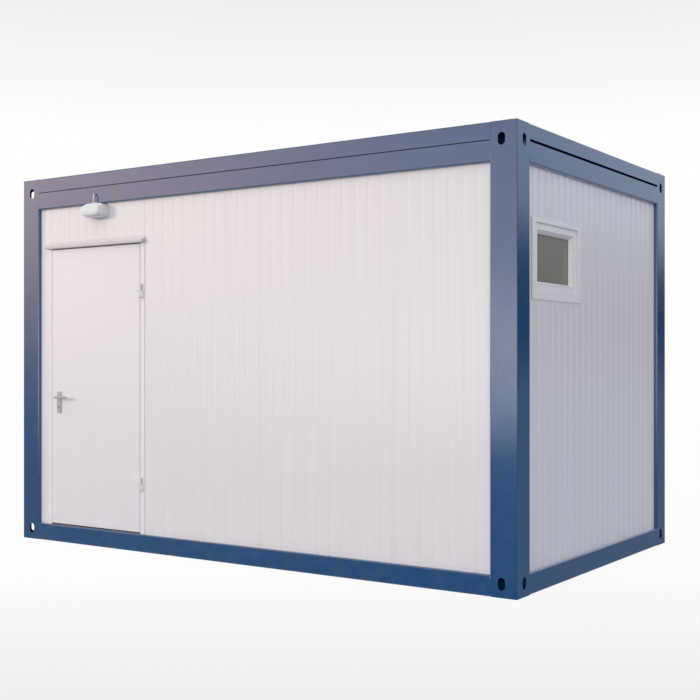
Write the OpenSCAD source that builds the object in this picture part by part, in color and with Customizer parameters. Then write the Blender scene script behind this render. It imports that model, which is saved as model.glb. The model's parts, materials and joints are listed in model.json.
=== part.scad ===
// Site cabin of the container kind: a welded steel frame with panel walls, a door and a small window.
// Millimetres. +X runs along the door wall, -Y points out of the door wall, +Z is up.
// The origin is the plan centre of the steel frame, on the ground.

/* [Overall] */
// Length over the corner posts
cabin_length = 4000; // [3600:10:6060]
// Width over the corner posts
cabin_width = 2400; // [2100:10:3000]
// Height from the ground to the top of the roof frame
cabin_height = 2620; // [2560:10:2960]

/* [Steel frame] */
// Width of each outer face of a corner post
post_w = 165; // [130:1:200]
// Wall thickness of the pressed steel members
steel_t = 4; // [3:0.5:5]
// Outer bend radius of the pressed steel members
bend_r = 7; // [6:0.5:10]
// Height of the roof frame's face
roof_face_h = 220; // [200:1:260]
// How far the roof frame's face hangs down over the walls
roof_hang = 80; // [40:1:100]
// Height of the floor frame's face
floor_face_h = 120; // [110:1:140]
// How far the floor frame's face stands up over the walls
floor_lip = 20; // [10:1:25]
// How far the wall faces stand back behind the frame's face
wall_recess = 25; // [15:1:40]
// Height of the fine groove in the long roof beams
groove_h = 5; // [3:0.5:8]
// Middle of that groove, below the top of the frame
groove_drop = 100; // [80:1:110]
// Height of the slot in the end roof beams
slot_h = 16; // [10:1:24]
// Middle of that slot, below the top of the frame
slot_drop = 93; // [80:1:110]

/* [Corner blocks] */
// Height of a bottom corner block
bottom_block_h = 160; // [150:1:200]
// Plate thickness of a corner block
block_t = 6; // [5:0.5:8]
// Width of the long round-ended holes
hole_w = 46; // [30:1:56]
// Length of the long round-ended holes
hole_l = 70; // [60:1:80]
// Middle of a hole, in from the cabin's corner edge
hole_in = 94; // [80:1:100]
// Middle of a bottom hole above the ground
bottom_hole_z = 76; // [60:1:90]
// Middle of a top hole below the top of the frame
top_hole_drop = 99; // [80:1:120]

/* [Walls, floor and roof] */
// Thickness of the sandwich panels
wall_t = 60; // [45:1:100]
// Thickness of the floor deck
deck_t = 26; // [18:1:40]
// Number of floor joists, an odd number so that one lies in the middle
joist_count = 5; // [3:2:9]
// Width of a floor joist
joist_w = 60; // [40:1:90]
// Thickness of the sheets under the floor
under_sheet_t = 3; // [2:0.5:6]
// Height of those sheets above the ground
under_sheet_z = 20; // [12:1:60]
// Play round each of those sheets, between the joists and the beams
under_sheet_play = 0.3; // [0.1:0.1:1]
// Thickness of the ceiling panel
ceiling_t = 20; // [12:1:40]
// Thickness of the roof sheet
roof_sheet_t = 4; // [3:0.5:6]
// Depth of the roof sheet's edge below the top of the frame
roof_sheet_drop = 36; // [30:1:60]
// Rise of the roof sheet from its edges to its ridge
roof_rise = 20; // [10:1:25]

/* [Door] */
// Edge of the door frame, in from the left corner post
door_from_post = 80; // [60:1:400]
// Outer width of the door frame
door_frame_w = 957; // [800:1:1100]
// Top of the door frame above the ground
door_frame_top = 2146; // [1950:1:2200]
// Face width of the door frame's members
door_face_w = 40; // [30:1:60]
// How far the door frame stands proud of the wall
door_proud = 5; // [2:1:10]
// Thickness of the door leaf
leaf_t = 42; // [35:1:60]
// Gap between the leaf and its frame
leaf_gap = 6.5; // [5:0.5:10]
// How far the leaf's face lies behind the face of its frame
leaf_set_back = 2; // [0:0.5:5]
// Overlap of the frame's stop behind the leaf
stop_lap = 15; // [12:1:25]
// Height of the sill above the floor beam's seat
sill_h = 22; // [18:1:40]

/* [Hinges and handle] */
// Radius of a hinge knuckle
knuckle_r = 10; // [8:0.5:14]
// Height of a hinge, both knuckles together
hinge_h = 90; // [70:1:120]
// Radius of a hinge pin
pin_r = 5; // [4:0.5:6]
// Radial clearance of a hinge pin, of a lever neck and of the lock cylinder
running_gap = 0.08; // [0.05:0.01:0.1]
// Gap between a hinge's two knuckles
knuckle_gap = 1; // [0.6:0.1:2]
// Clearance between a knuckle and the face of the door frame
knuckle_clear = 2; // [1:0.5:4]
// Middle of the lower hinge above the ground
low_hinge_z = 460; // [350:1:600]
// Middle of the upper hinge above the ground
high_hinge_z = 1780; // [1500:1:1850]
// Spindle of the lever handle above the ground
spindle_z = 1038; // [950:1:1100]
// Spindle in from the closing edge of the leaf
backset = 71; // [38:1:80]
// Width of a handle plate
plate_w = 45; // [35:1:50]
// Height of a handle plate
plate_h = 153; // [140:1:250]
// Thickness of a handle plate
plate_t = 8; // [5:0.5:12]
// Spindle below the top of its plates
plate_top = 40; // [35:1:60]
// Radius of a lever's neck and grip
lever_r = 9; // [7:0.5:12]
// Length of a lever from the spindle to the start of its round end
lever_l = 116; // [90:1:130]
// Stand-off of a lever's middle from the leaf
lever_stand = 48; // [40:1:60]
// Radius of the square spindle's round equivalent
spindle_r = 5; // [4:0.5:6]
// Lock cylinder below the spindle
cylinder_drop = 72; // [60:1:92]
// Radius of the lock cylinder
cylinder_r = 8.5; // [7:0.5:10]

/* [Drip rail] */
// Reach of the drip rail past each side of the door frame
rail_reach = 3; // [0:1:80]
// How far the drip rail stands out from the wall
rail_out = 30; // [20:1:70]
// Underside of the drip rail above the door frame's opening
rail_over_leaf = 1; // [0:1:30]
// Height of the drip rail's front lip
rail_lip = 20; // [12:1:25]
// Height of the flange that fixes the drip rail to the wall
rail_flange = 50; // [42:1:60]
// Sheet thickness of the drip rail
rail_t = 2; // [1.5:0.5:4]

/* [Window] */
// Width of the window frame
window_w = 603; // [400:1:900]
// Height of the window frame
window_h = 401; // [300:1:900]
// Underside of the window frame above the ground
window_z = 1693; // [900:1:1800]
// Edge of the window frame, in from the front corner of the end wall
window_in = 285; // [250:1:900]
// Depth of the window frame
window_depth = 62; // [50:1:80]
// Face width of the fixed frame
window_face_w = 45; // [35:1:60]
// Face width of the bead that holds the glass
bead_w = 18; // [12:1:30]
// How far the window frame lies behind the face of its outer trim
window_back = 13; // [8:1:20]
// Overlap of the outer trim past the window frame at the sides
trim_side = 44; // [30:1:60]
// Overlap of the outer trim above the window frame
trim_top = 22; // [15:1:60]
// Overlap of the outer trim below the window frame
trim_bottom = 43; // [30:1:60]
// How far the outer trim stands proud of the wall
trim_proud = 5; // [3:1:10]
// How far the outer trim laps over the window frame
trim_lap = 4; // [2:1:8]
// Thickness of the double glazing
glass_t = 24; // [16:1:30]
// How far the glass lies behind the face of the window frame
glass_back = 30; // [18:1:34]

/* [Lamp] */
// Middle of the lamp, in from the left end of the cabin
lamp_in = 760; // [500:1:1200]
// Middle of the lamp above the ground
lamp_z = 2345; // [2250:1:2400]
// Width of the lamp
lamp_w = 206; // [160:1:240]
// Height of the lamp
lamp_h = 108; // [90:1:120]
// Depth of the lamp's base from the wall
lamp_base_t = 52; // [48:1:60]
// Depth of the lamp from the wall to the front of its glass
lamp_depth = 95; // [70:1:120]
// Width of the rim round the lamp's glass
lamp_rim = 7; // [4:0.5:12]
// Depth of that rim
lamp_rim_t = 9; // [6:1:14]
// Radius of the lamp's lead
lead_r = 4; // [3:0.5:5]
// Bend radius of the lead on its way back to the beam
lead_bend = 20; // [16:1:24]
// Where the lead enters the beam, below the top of the frame
lead_drop = 155; // [130:1:190]
// Radius of the grommet round the lead
grommet_r = 9; // [7:0.5:14]

/* [Hidden] */
$fn = 64;
eps = 1;

frame_blue = "steelblue";
panel_white = "whitesmoke";
dark_metal = "dimgray";

// Corner signs: first along X, then along Y
front_left = [-1, -1];
front_right = [1, -1];
back_left = [-1, 1];
back_right = [1, 1];

half_l = cabin_length / 2;
half_w = cabin_width / 2;
leg_d = wall_recess + wall_t;
long_run = cabin_length - 2 * post_w;
short_run = cabin_width - 2 * post_w;
room_half_l = half_l - leg_d;
room_half_w = half_w - leg_d;
floor_seat_z = floor_face_h - floor_lip;
roof_face_z = cabin_height - roof_face_h;
wall_top_z = roof_face_z + roof_hang;
wall_h = wall_top_z - floor_seat_z;
post_h = roof_face_z - bottom_block_h;
joist_pitch = (2 * room_half_l) / (joist_count + 1);

// Faces of the walls, as distances out from the middle
wall_out_y = half_w - wall_recess;
wall_out_x = half_l - wall_recess;

// Door: X places run from left to right, Y places are negative, out of the front wall
door_x0 = -half_l + post_w + door_from_post;
door_x1 = door_x0 + door_frame_w;
door_face_y = -(wall_out_y + door_proud);
leaf_x0 = door_x0 + door_face_w + leaf_gap;
leaf_x1 = door_x1 - door_face_w - leaf_gap;
sill_z = floor_seat_z + sill_h;
leaf_z0 = sill_z + leaf_gap;
leaf_z1 = door_frame_top - door_face_w - leaf_gap;
leaf_out_y = door_face_y + leaf_set_back;
leaf_in_y = leaf_out_y + leaf_t;
stop_y = leaf_in_y + leaf_gap;
frame_in_y = -room_half_w;

hinge_x = door_x1 - door_face_w + knuckle_r;
hinge_y = door_face_y - knuckle_clear - knuckle_r;
hinge_tab_t = 6;
hinge_tab_l = 30;
hinge_zs = [low_hinge_z, high_hinge_z];
knuckle_h = (hinge_h - knuckle_gap) / 2;

spindle_x = leaf_x0 + backset;
plate_z0 = spindle_z + plate_top - plate_h;
cylinder_z = spindle_z - cylinder_drop;
spindle_clear = 4;
cylinder_proud = 3;

rail_z0 = leaf_z1 + leaf_gap + rail_over_leaf;

window_y0 = -half_w + window_in;
window_y1 = window_y0 + window_w;
window_z1 = window_z + window_h;
trim_face_x = wall_out_x + trim_proud;
window_face_x = trim_face_x - window_back;
sash_set_back = 4;

lamp_x = -half_l + lamp_in;
grommet_t = 3;
lead_z = cabin_height - lead_drop;
lead_y = -half_w - lead_bend - grommet_t / 2;
lead_x = lamp_x - 6;
gland_r = lead_r + 2;
gland_h = 6;
glass_play = 0.5;

// ---- Outlines ----

// A strip whose two outer corners, on the side y = 0, are rounded
module bent_strip(w, d, r) {
  translate([0, r]) square([w, d - r]);
  translate([r, 0]) square([w - 2 * r, r]);
  translate([r, r]) circle(r);
  translate([w - r, r]) circle(r);
}

// An L with its outer corner at the origin and legs w long and d deep
module corner_outline(w, d, r) {
  bent_strip(w, d, r);
  mirror([1, -1]) bent_strip(w, d, r);
}

// The same L, shrunk by t on every side
module corner_hollow(w, d, r, t) {
  translate([t, t]) corner_outline(w - 2 * t, d - 2 * t, r - t);
}

// A slot with round ends, its length along the second direction
module slot_outline(w, l) {
  for (s = [-1, 1]) translate([0, s * (l - w) / 2]) circle(d = w);
  square([w, l - w], center = true);
}

// An oval with round ends, its length along the first direction
module oval_outline(w, h) {
  rotate(90) slot_outline(h, w);
}

// Section of a floor beam: first direction inwards, second up
module floor_beam_section() {
  difference() {
    union() {
      translate([0, bend_r]) square([wall_recess, floor_face_h - 2 * bend_r]);
      translate([bend_r, 0]) square([wall_recess - bend_r, floor_face_h]);
      square_seat();
      for (z = [bend_r, floor_face_h - bend_r]) translate([bend_r, z]) circle(bend_r);
    }
    translate([steel_t, steel_t]) square([leg_d - 2 * steel_t, floor_seat_z - 2 * steel_t]);
  }
}

module square_seat() {
  translate([bend_r, 0]) square([leg_d - bend_r, floor_seat_z]);
}

// Section of a roof beam, with a cut of height h whose middle lies drop below the top
module roof_beam_section(h, drop) {
  difference() {
    union() {
      translate([0, bend_r]) square([wall_recess, roof_face_h - 2 * bend_r]);
      translate([bend_r, 0]) square([wall_recess - bend_r, roof_face_h]);
      translate([bend_r, roof_hang]) square([leg_d - bend_r, roof_face_h - roof_hang]);
      for (z = [bend_r, roof_face_h - bend_r]) translate([bend_r, z]) circle(bend_r);
    }
    translate([steel_t, roof_hang + steel_t])
      square([leg_d - 2 * steel_t, roof_face_h - roof_hang - 2 * steel_t]);
    translate([steel_t, steel_t]) square([wall_recess - 2 * steel_t, roof_hang]);
    translate([-eps, roof_face_h - drop - h / 2]) square([2 * steel_t + eps, h]);
  }
}

// ---- Placing ----

// Puts a corner piece, drawn in the quarter with positive X and Y, at the corner that s names
module at_corner(s) {
  translate([s[0] * half_l, s[1] * half_w, 0])
    mirror([s[0] > 0 ? 1 : 0, 0, 0])
      mirror([0, s[1] > 0 ? 1 : 0, 0])
        children();
}

// Runs a section along the side that faces turn, reach out from the middle
module along_side(turn, reach, run) {
  rotate([0, 0, turn])
    translate([-run / 2, -reach, 0])
      rotate([90, 0, 90])
        linear_extrude(run) children();
}

// Box from its lowest to its highest corner
module block(lo, hi) {
  translate(lo) cube(hi - lo);
}

// ---- Steel frame ----

module floor_beam(turn, reach, run) {
  color(frame_blue) along_side(turn, reach, run) floor_beam_section();
}

module roof_beam(turn, reach, run, h, drop) {
  color(frame_blue)
    translate([0, 0, roof_face_z])
      along_side(turn, reach, run) roof_beam_section(h, drop);
}

module corner_post(s) {
  color(frame_blue)
    at_corner(s)
      translate([0, 0, bottom_block_h])
        linear_extrude(post_h)
          difference() {
            corner_outline(post_w, leg_d, bend_r);
            corner_hollow(post_w, leg_d, bend_r, steel_t);
          }
}

// A closed block with a long hole in each of its two outer faces
module corner_block(s, z0, h, hole_z) {
  color(frame_blue)
    at_corner(s)
      difference() {
        translate([0, 0, z0]) linear_extrude(h) corner_outline(post_w, leg_d, bend_r);
        translate([0, 0, z0 + block_t])
          linear_extrude(h - 2 * block_t) corner_hollow(post_w, leg_d, bend_r, block_t);
        translate([hole_in, block_t + eps, hole_z])
          rotate([90, 0, 0]) linear_extrude(block_t + 2 * eps) slot_outline(hole_w, hole_l);
        translate([-eps, hole_in, hole_z])
          rotate([90, 0, 90]) linear_extrude(block_t + 2 * eps) slot_outline(hole_w, hole_l);
      }
}

module bottom_corner(s) {
  corner_block(s, 0, bottom_block_h, bottom_hole_z);
}

module top_corner(s) {
  corner_block(s, roof_face_z, roof_face_h, cabin_height - top_hole_drop);
}

// ---- Floor, ceiling and roof ----

module floor_joists() {
  color(dark_metal)
    for (i = [1 : joist_count])
      translate([-room_half_l + i * joist_pitch, 0, 0])
        difference() {
          block([-joist_w / 2, -room_half_w, 0], [joist_w / 2, room_half_w, floor_seat_z]);
          block([-joist_w / 2 + steel_t, -room_half_w - eps, steel_t],
                [joist_w / 2 - steel_t, room_half_w + eps, floor_seat_z - steel_t]);
        }
}

// One sheet in each bay between the joists and the beams
module floor_under_sheets() {
  reach = room_half_w - under_sheet_play;
  color("silver")
    for (i = [0 : joist_count]) {
      first = (i == 0 ? 0 : joist_w / 2) + under_sheet_play;
      last = (i == joist_count ? 0 : joist_w / 2) + under_sheet_play;
      block([-room_half_l + i * joist_pitch + first, -reach, under_sheet_z],
            [-room_half_l + (i + 1) * joist_pitch - last, reach,
             under_sheet_z + under_sheet_t]);
    }
}

module floor_deck() {
  color("gray")
    block([-room_half_l, -room_half_w, floor_seat_z],
          [room_half_l, room_half_w, floor_seat_z + deck_t]);
}

module ceiling_panel() {
  color(panel_white)
    block([-room_half_l, -room_half_w, wall_top_z],
          [room_half_l, room_half_w, wall_top_z + ceiling_t]);
}

// A sheet folded along its ridge, which runs the length of the cabin
module roof_sheet() {
  edge_z = cabin_height - roof_sheet_drop;
  color("silver")
    translate([-room_half_l, 0, edge_z])
      rotate([90, 0, 90])
        linear_extrude(2 * room_half_l)
          polygon([[-room_half_w, 0], [0, roof_rise], [room_half_w, 0],
                   [room_half_w, roof_sheet_t], [0, roof_rise + roof_sheet_t],
                   [-room_half_w, roof_sheet_t]]);
}

// ---- Walls ----

// A stretch of the front wall
module front_panel(x0, x1, z0) {
  color(panel_white) block([x0, -wall_out_y, z0], [x1, -room_half_w, wall_top_z]);
}

module front_wall_left() {
  front_panel(-long_run / 2, door_x0, floor_seat_z);
}

module front_wall_over_door() {
  front_panel(door_x0, door_x1, door_frame_top);
}

module front_wall_right() {
  front_panel(door_x1, long_run / 2, floor_seat_z);
}

module back_wall() {
  color(panel_white)
    block([-long_run / 2, room_half_w, floor_seat_z], [long_run / 2, wall_out_y, wall_top_z]);
}

module left_wall() {
  color(panel_white)
    block([-wall_out_x, -short_run / 2, floor_seat_z], [-room_half_l, short_run / 2, wall_top_z]);
}

module right_wall() {
  color(panel_white)
    difference() {
      block([room_half_l, -short_run / 2, floor_seat_z], [wall_out_x, short_run / 2, wall_top_z]);
      block([room_half_l - eps, window_y0, window_z], [wall_out_x + eps, window_y1, window_z1]);
    }
}

// ---- Door ----

// A four-sided frame with a rebate for the leaf and a stop behind it
module door_frame() {
  inner_x0 = door_x0 + door_face_w;
  inner_x1 = door_x1 - door_face_w;
  inner_z1 = door_frame_top - door_face_w;
  color(panel_white)
    difference() {
      block([door_x0, door_face_y, floor_seat_z], [door_x1, frame_in_y, door_frame_top]);
      block([inner_x0, door_face_y - eps, sill_z], [inner_x1, stop_y, inner_z1]);
      block([inner_x0 + stop_lap, stop_y - eps, sill_z + stop_lap],
            [inner_x1 - stop_lap, frame_in_y + eps, inner_z1 - stop_lap]);
      block([door_x0 - eps, door_face_y - eps, floor_seat_z - eps],
            [door_x1 + eps, -wall_out_y, floor_face_h]);
    }
}

// A bore along Y through the leaf, r wide, at height z on the spindle's line
module leaf_bore(r, z) {
  translate([spindle_x, leaf_in_y + eps, z])
    rotate([90, 0, 0]) cylinder(r = r, h = leaf_t + 2 * eps);
}

module door_leaf() {
  color("white")
    difference() {
      block([leaf_x0, leaf_out_y, leaf_z0], [leaf_x1, leaf_in_y, leaf_z1]);
      leaf_bore(spindle_r + spindle_clear, spindle_z);
      leaf_bore(cylinder_r, cylinder_z);
    }
}

// Lower knuckles with their pins and the lugs that are welded to the door frame
module hinge_frame_halves() {
  color("silver")
    for (z = hinge_zs)
      translate([hinge_x, hinge_y, z - hinge_h / 2]) {
        cylinder(r = knuckle_r, h = knuckle_h);
        cylinder(r = pin_r, h = hinge_h - hinge_tab_t);
        block([0, 0, 0], [hinge_tab_l - knuckle_r, knuckle_r + knuckle_clear, knuckle_h]);
      }
}

// Upper knuckles with the lugs that are screwed to the leaf
module hinge_leaf_halves() {
  pad_x = leaf_x1 - hinge_x;
  pad_y = leaf_out_y - hinge_y;
  color("silver")
    for (z = hinge_zs)
      translate([hinge_x, hinge_y, z + knuckle_gap / 2])
        difference() {
          union() {
            cylinder(r = knuckle_r, h = knuckle_h);
            block([-hinge_tab_l - knuckle_r, pad_y - 2 * hinge_tab_t, 0],
                  [0, pad_y - hinge_tab_t, knuckle_h]);
            block([-hinge_tab_l - knuckle_r, pad_y - hinge_tab_t - eps, 0],
                  [pad_x, pad_y, knuckle_h]);
          }
          translate([0, 0, -eps]) cylinder(r = pin_r + running_gap, h = knuckle_h + 2 * eps);
        }
}

// One plate on each face of the leaf
module handle_plates() {
  color("darkgray")
    for (y = [leaf_out_y - plate_t, leaf_in_y])
      difference() {
        translate([spindle_x, y + plate_t, plate_z0 + plate_h / 2])
          rotate([90, 0, 0]) linear_extrude(plate_t) plate_outline();
        translate([spindle_x, y + plate_t + eps, spindle_z])
          rotate([90, 0, 0]) cylinder(r = lever_r + running_gap, h = plate_t + 2 * eps);
        translate([spindle_x, y + plate_t + eps, cylinder_z])
          rotate([90, 0, 0]) cylinder(r = cylinder_r + running_gap, h = plate_t + 2 * eps);
      }
}

module plate_outline() {
  corner_r = 6;
  square([plate_w, plate_h - 2 * corner_r], center = true);
  square([plate_w - 2 * corner_r, plate_h], center = true);
  for (sx = [-1, 1], sz = [-1, 1])
    translate([sx * (plate_w / 2 - corner_r), sz * (plate_h / 2 - corner_r)]) circle(corner_r);
}

module lock_cylinder() {
  color("silver")
    translate([spindle_x, leaf_in_y + plate_t + cylinder_proud, cylinder_z])
      rotate([90, 0, 0])
        cylinder(r = cylinder_r, h = leaf_t + 2 * (plate_t + cylinder_proud));
}

// The outer and the inner lever on one spindle; both grips point at the hinges
module door_lever() {
  color("darkgray") {
    translate([spindle_x, leaf_in_y + eps, spindle_z])
      rotate([90, 0, 0]) cylinder(r = spindle_r, h = leaf_t + 2 * eps);
    lever_arm(leaf_out_y - lever_stand, leaf_out_y - eps);
    lever_arm(leaf_in_y + lever_stand, leaf_in_y + eps);
  }
}

// A grip at grip_y and the neck that joins it to the leaf's side at neck_y
module lever_arm(grip_y, neck_y) {
  translate([spindle_x, max(grip_y, neck_y), spindle_z])
    rotate([90, 0, 0]) cylinder(r = lever_r, h = abs(grip_y - neck_y));
  translate([spindle_x, grip_y, spindle_z]) {
    sphere(r = lever_r);
    rotate([0, 90, 0]) cylinder(r = lever_r, h = lever_l);
    translate([lever_l, 0, 0]) sphere(r = lever_r);
  }
}

// A channel over the door that throws rain to its ends
module door_drip_rail() {
  color(panel_white)
    translate([door_x0 - rail_reach, -wall_out_y, rail_z0])
      rotate([90, 0, 90])
        linear_extrude(door_frame_w + 2 * rail_reach)
          difference() {
            translate([-rail_out, 0]) square([rail_out, rail_lip]);
            translate([rail_t - rail_out, rail_t]) square([rail_out - 2 * rail_t - door_proud, rail_lip]);
            translate([-door_proud, -eps]) square([door_proud + eps, door_frame_top - rail_z0 + eps]);
          }
  color(panel_white)
    block([door_x0 - rail_reach, -wall_out_y - door_proud - rail_t, rail_z0 + rail_lip - eps],
          [door_x1 + rail_reach, -wall_out_y - door_proud, door_frame_top + rail_t]);
  color(panel_white)
    block([door_x0 - rail_reach, -wall_out_y - door_proud - rail_t, door_frame_top],
          [door_x1 + rail_reach, -wall_out_y, rail_z0 + rail_flange]);
}

// ---- Window ----

// A rectangular ring in the window's plane, w wide on every side, from x0 to x1
module window_ring(x0, x1, grow, w) {
  difference() {
    block([x0, window_y0 - grow, window_z - grow], [x1, window_y1 + grow, window_z1 + grow]);
    block([x0 - eps, window_y0 - grow + w, window_z - grow + w],
          [x1 + eps, window_y1 + grow - w, window_z1 + grow - w]);
  }
}

// Cover frame on the wall's outer face, with a short return to the window frame
module window_trim() {
  color("white") {
    difference() {
      block([wall_out_x, window_y0 - trim_side, window_z - trim_bottom],
            [trim_face_x, window_y1 + trim_side, window_z1 + trim_top]);
      block([wall_out_x - eps, window_y0 + trim_lap, window_z + trim_lap],
            [trim_face_x + eps, window_y1 - trim_lap, window_z1 - trim_lap]);
    }
    window_ring(window_face_x, trim_face_x, 0, trim_lap);
  }
}

module window_frame() {
  color("white") window_ring(window_face_x - window_depth, window_face_x, 0, window_face_w);
}

module window_sash() {
  color("white")
    window_ring(window_face_x - glass_back, window_face_x - sash_set_back, -window_face_w, bead_w);
}

module window_glass() {
  edge = window_face_w + 2;
  color("darkkhaki")
    block([window_face_x - glass_back - glass_t, window_y0 + edge, window_z + edge],
          [window_face_x - glass_back, window_y1 - edge, window_z1 - edge]);
}

// ---- Lamp ----

// Places an outline on the wall at the lamp, from y0 to y1 out of the wall
module at_lamp(y0, y1) {
  translate([lamp_x, -wall_out_y - y0, lamp_z])
    rotate([90, 0, 0]) linear_extrude(y1 - y0) children();
}

// Oval base, and the rim that clamps the glass on it
module lamp_body() {
  color("white")
    difference() {
      at_lamp(0, lamp_base_t + lamp_rim_t) oval_outline(lamp_w, lamp_h);
      at_lamp(lamp_base_t, lamp_base_t + lamp_rim_t + eps)
        oval_outline(lamp_w - 2 * lamp_rim, lamp_h - 2 * lamp_rim);
    }
}

// A dome in three steps, each smaller than the one behind it
module lamp_glass() {
  step = (lamp_depth - lamp_base_t) / 3;
  color("mintcream")
    for (i = [0 : 2]) {
      less = 2 * (lamp_rim + glass_play) + 10 * i * i;
      at_lamp(lamp_base_t, lamp_base_t + (i + 1) * step)
        oval_outline(lamp_w - less, lamp_h - less);
    }
}

// Lead from the top of the lamp, up and back into its grommet in the roof beam
module lamp_lead() {
  lamp_top_z = lamp_z + lamp_h / 2;
  color("white") {
    translate([lead_x, lead_y, lamp_top_z])
      cylinder(r = lead_r, h = lead_z - lead_bend - lamp_top_z);
    translate([lead_x, lead_y, lamp_top_z]) cylinder(r = gland_r, h = gland_h);
    translate([lead_x, lead_y + lead_bend, lead_z - lead_bend])
      rotate([90, 0, -90])
        rotate_extrude(angle = 90) translate([lead_bend, 0]) circle(lead_r);
    translate([lead_x, -half_w - grommet_t, lead_z])
      rotate([-90, 0, 0]) cylinder(r = grommet_r, h = grommet_t);
  }
}

// ---- Drawing ----

floor_beam(0, half_w, long_run);  // floor_beam_front
floor_beam(180, half_w, long_run);  // floor_beam_back
floor_beam(-90, half_l, short_run);  // floor_beam_left
floor_beam(90, half_l, short_run);  // floor_beam_right
bottom_corner(front_left);  // bottom_corner_front_left
bottom_corner(front_right);  // bottom_corner_front_right
bottom_corner(back_left);  // bottom_corner_back_left
bottom_corner(back_right);  // bottom_corner_back_right
floor_joists();
floor_under_sheets();
floor_deck();
corner_post(front_left);  // corner_post_front_left
corner_post(front_right);  // corner_post_front_right
corner_post(back_left);  // corner_post_back_left
corner_post(back_right);  // corner_post_back_right
roof_beam(0, half_w, long_run, groove_h, groove_drop);  // roof_beam_front
roof_beam(180, half_w, long_run, groove_h, groove_drop);  // roof_beam_back
roof_beam(-90, half_l, short_run, slot_h, slot_drop);  // roof_beam_left
roof_beam(90, half_l, short_run, slot_h, slot_drop);  // roof_beam_right
top_corner(front_left);  // top_corner_front_left
top_corner(front_right);  // top_corner_front_right
top_corner(back_left);  // top_corner_back_left
top_corner(back_right);  // top_corner_back_right
roof_sheet();
ceiling_panel();
front_wall_left();
front_wall_over_door();
front_wall_right();
back_wall();
left_wall();
right_wall();
door_frame();
door_leaf();
hinge_frame_halves();
hinge_leaf_halves();
handle_plates();
lock_cylinder();
door_lever();
door_drip_rail();
window_trim();
window_frame();
window_sash();
window_glass();
lamp_body();
lamp_glass();
lamp_lead();
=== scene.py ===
# %% [markdown]
# # A site cabin of the container kind
# The real cabin is a welded steel frame with ribbed sandwich panels between its
# posts, a steel door with its rain rail, a small plastic window and an oval lamp.
# The frame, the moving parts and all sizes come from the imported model. This
# lesson adds what a workshop would add to it: folded sheet, ribs, seals, screws
# and finishes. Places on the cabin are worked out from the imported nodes' corners.

import json
from math import atan2, copysign, cos, pi, radians, sin, tan

import bmesh
import bpy
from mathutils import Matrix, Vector


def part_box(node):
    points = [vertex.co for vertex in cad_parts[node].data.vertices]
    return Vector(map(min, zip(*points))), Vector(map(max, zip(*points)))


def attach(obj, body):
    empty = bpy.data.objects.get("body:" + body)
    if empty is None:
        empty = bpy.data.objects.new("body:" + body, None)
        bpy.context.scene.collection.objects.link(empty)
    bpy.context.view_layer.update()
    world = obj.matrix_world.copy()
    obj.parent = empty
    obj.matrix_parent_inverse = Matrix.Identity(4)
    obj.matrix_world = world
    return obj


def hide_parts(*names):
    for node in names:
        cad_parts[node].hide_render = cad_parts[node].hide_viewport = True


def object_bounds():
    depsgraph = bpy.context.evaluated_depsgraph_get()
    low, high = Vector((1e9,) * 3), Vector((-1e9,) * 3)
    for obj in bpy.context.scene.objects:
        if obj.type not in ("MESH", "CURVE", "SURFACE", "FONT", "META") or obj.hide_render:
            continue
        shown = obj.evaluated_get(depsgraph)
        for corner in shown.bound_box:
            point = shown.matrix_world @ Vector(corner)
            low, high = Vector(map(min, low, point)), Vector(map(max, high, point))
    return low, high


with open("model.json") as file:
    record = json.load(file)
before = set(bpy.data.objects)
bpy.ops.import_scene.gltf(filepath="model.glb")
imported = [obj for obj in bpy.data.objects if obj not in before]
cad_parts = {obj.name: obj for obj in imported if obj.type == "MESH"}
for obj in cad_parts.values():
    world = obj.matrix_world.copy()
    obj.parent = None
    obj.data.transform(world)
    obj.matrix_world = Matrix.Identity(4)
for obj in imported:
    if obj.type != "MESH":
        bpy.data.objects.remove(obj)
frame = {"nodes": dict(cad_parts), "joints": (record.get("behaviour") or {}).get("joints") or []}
nodes = frame["nodes"]
cad_lo, cad_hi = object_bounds()
print("cabin box:", [round(v, 3) for v in (*cad_lo, *cad_hi)])

# %% [markdown]
# The camera stands at the height of a person's chest, off the corner where the
# door wall meets the window wall, with a fairly long lens so that the posts stay
# upright. It is level, and a small upward shift frames the cabin.

# %% Camera
scene = bpy.context.scene
camera_data = bpy.data.cameras.new("camera")
TURN = 34.085
camera_data.lens = 59.68
camera_data.sensor_width = 36.0
camera_data.shift_y = 0.0141
camera = bpy.data.objects.new("camera", camera_data)
camera.location = (4.7831, -6.9321, 1.3062)
camera.rotation_euler = (radians(90), 0, radians(TURN))
scene.collection.objects.link(camera)
scene.camera = camera
scene.view_settings.view_transform = "Standard"
print("camera looks along", round(TURN, 1), "degrees from the door wall's normal")

# %% [markdown]
# Shader trees and geometry trees are wired in the same way, so three short
# helpers serve both: one feeds a socket with a value or a link, one adds a node,
# and one adds a Math node and hands back its result.

# %% Helpers that wire nodes
def feed(tree, socket, value):
    """Gives a socket a value, or a link where the value is another socket."""
    if isinstance(value, bpy.types.NodeSocket):
        tree.links.new(value, socket)
    else:
        socket.default_value = value


def add_node(tree, kind, inputs=None, **settings):
    """Adds a node with its settings, and feeds the sockets that inputs names."""
    node = tree.nodes.new(kind)
    for name, value in settings.items():
        setattr(node, name, value)
    for name, value in (inputs or {}).items():
        feed(tree, node.inputs[name], value)
    return node


def calc(tree, operation, *values, clamp=False):
    """The result of a Math node."""
    node = add_node(tree, "ShaderNodeMath", operation=operation, use_clamp=clamp)
    for socket, value in zip(node.inputs, values):
        feed(tree, socket, value)
    return node.outputs[0]


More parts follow.
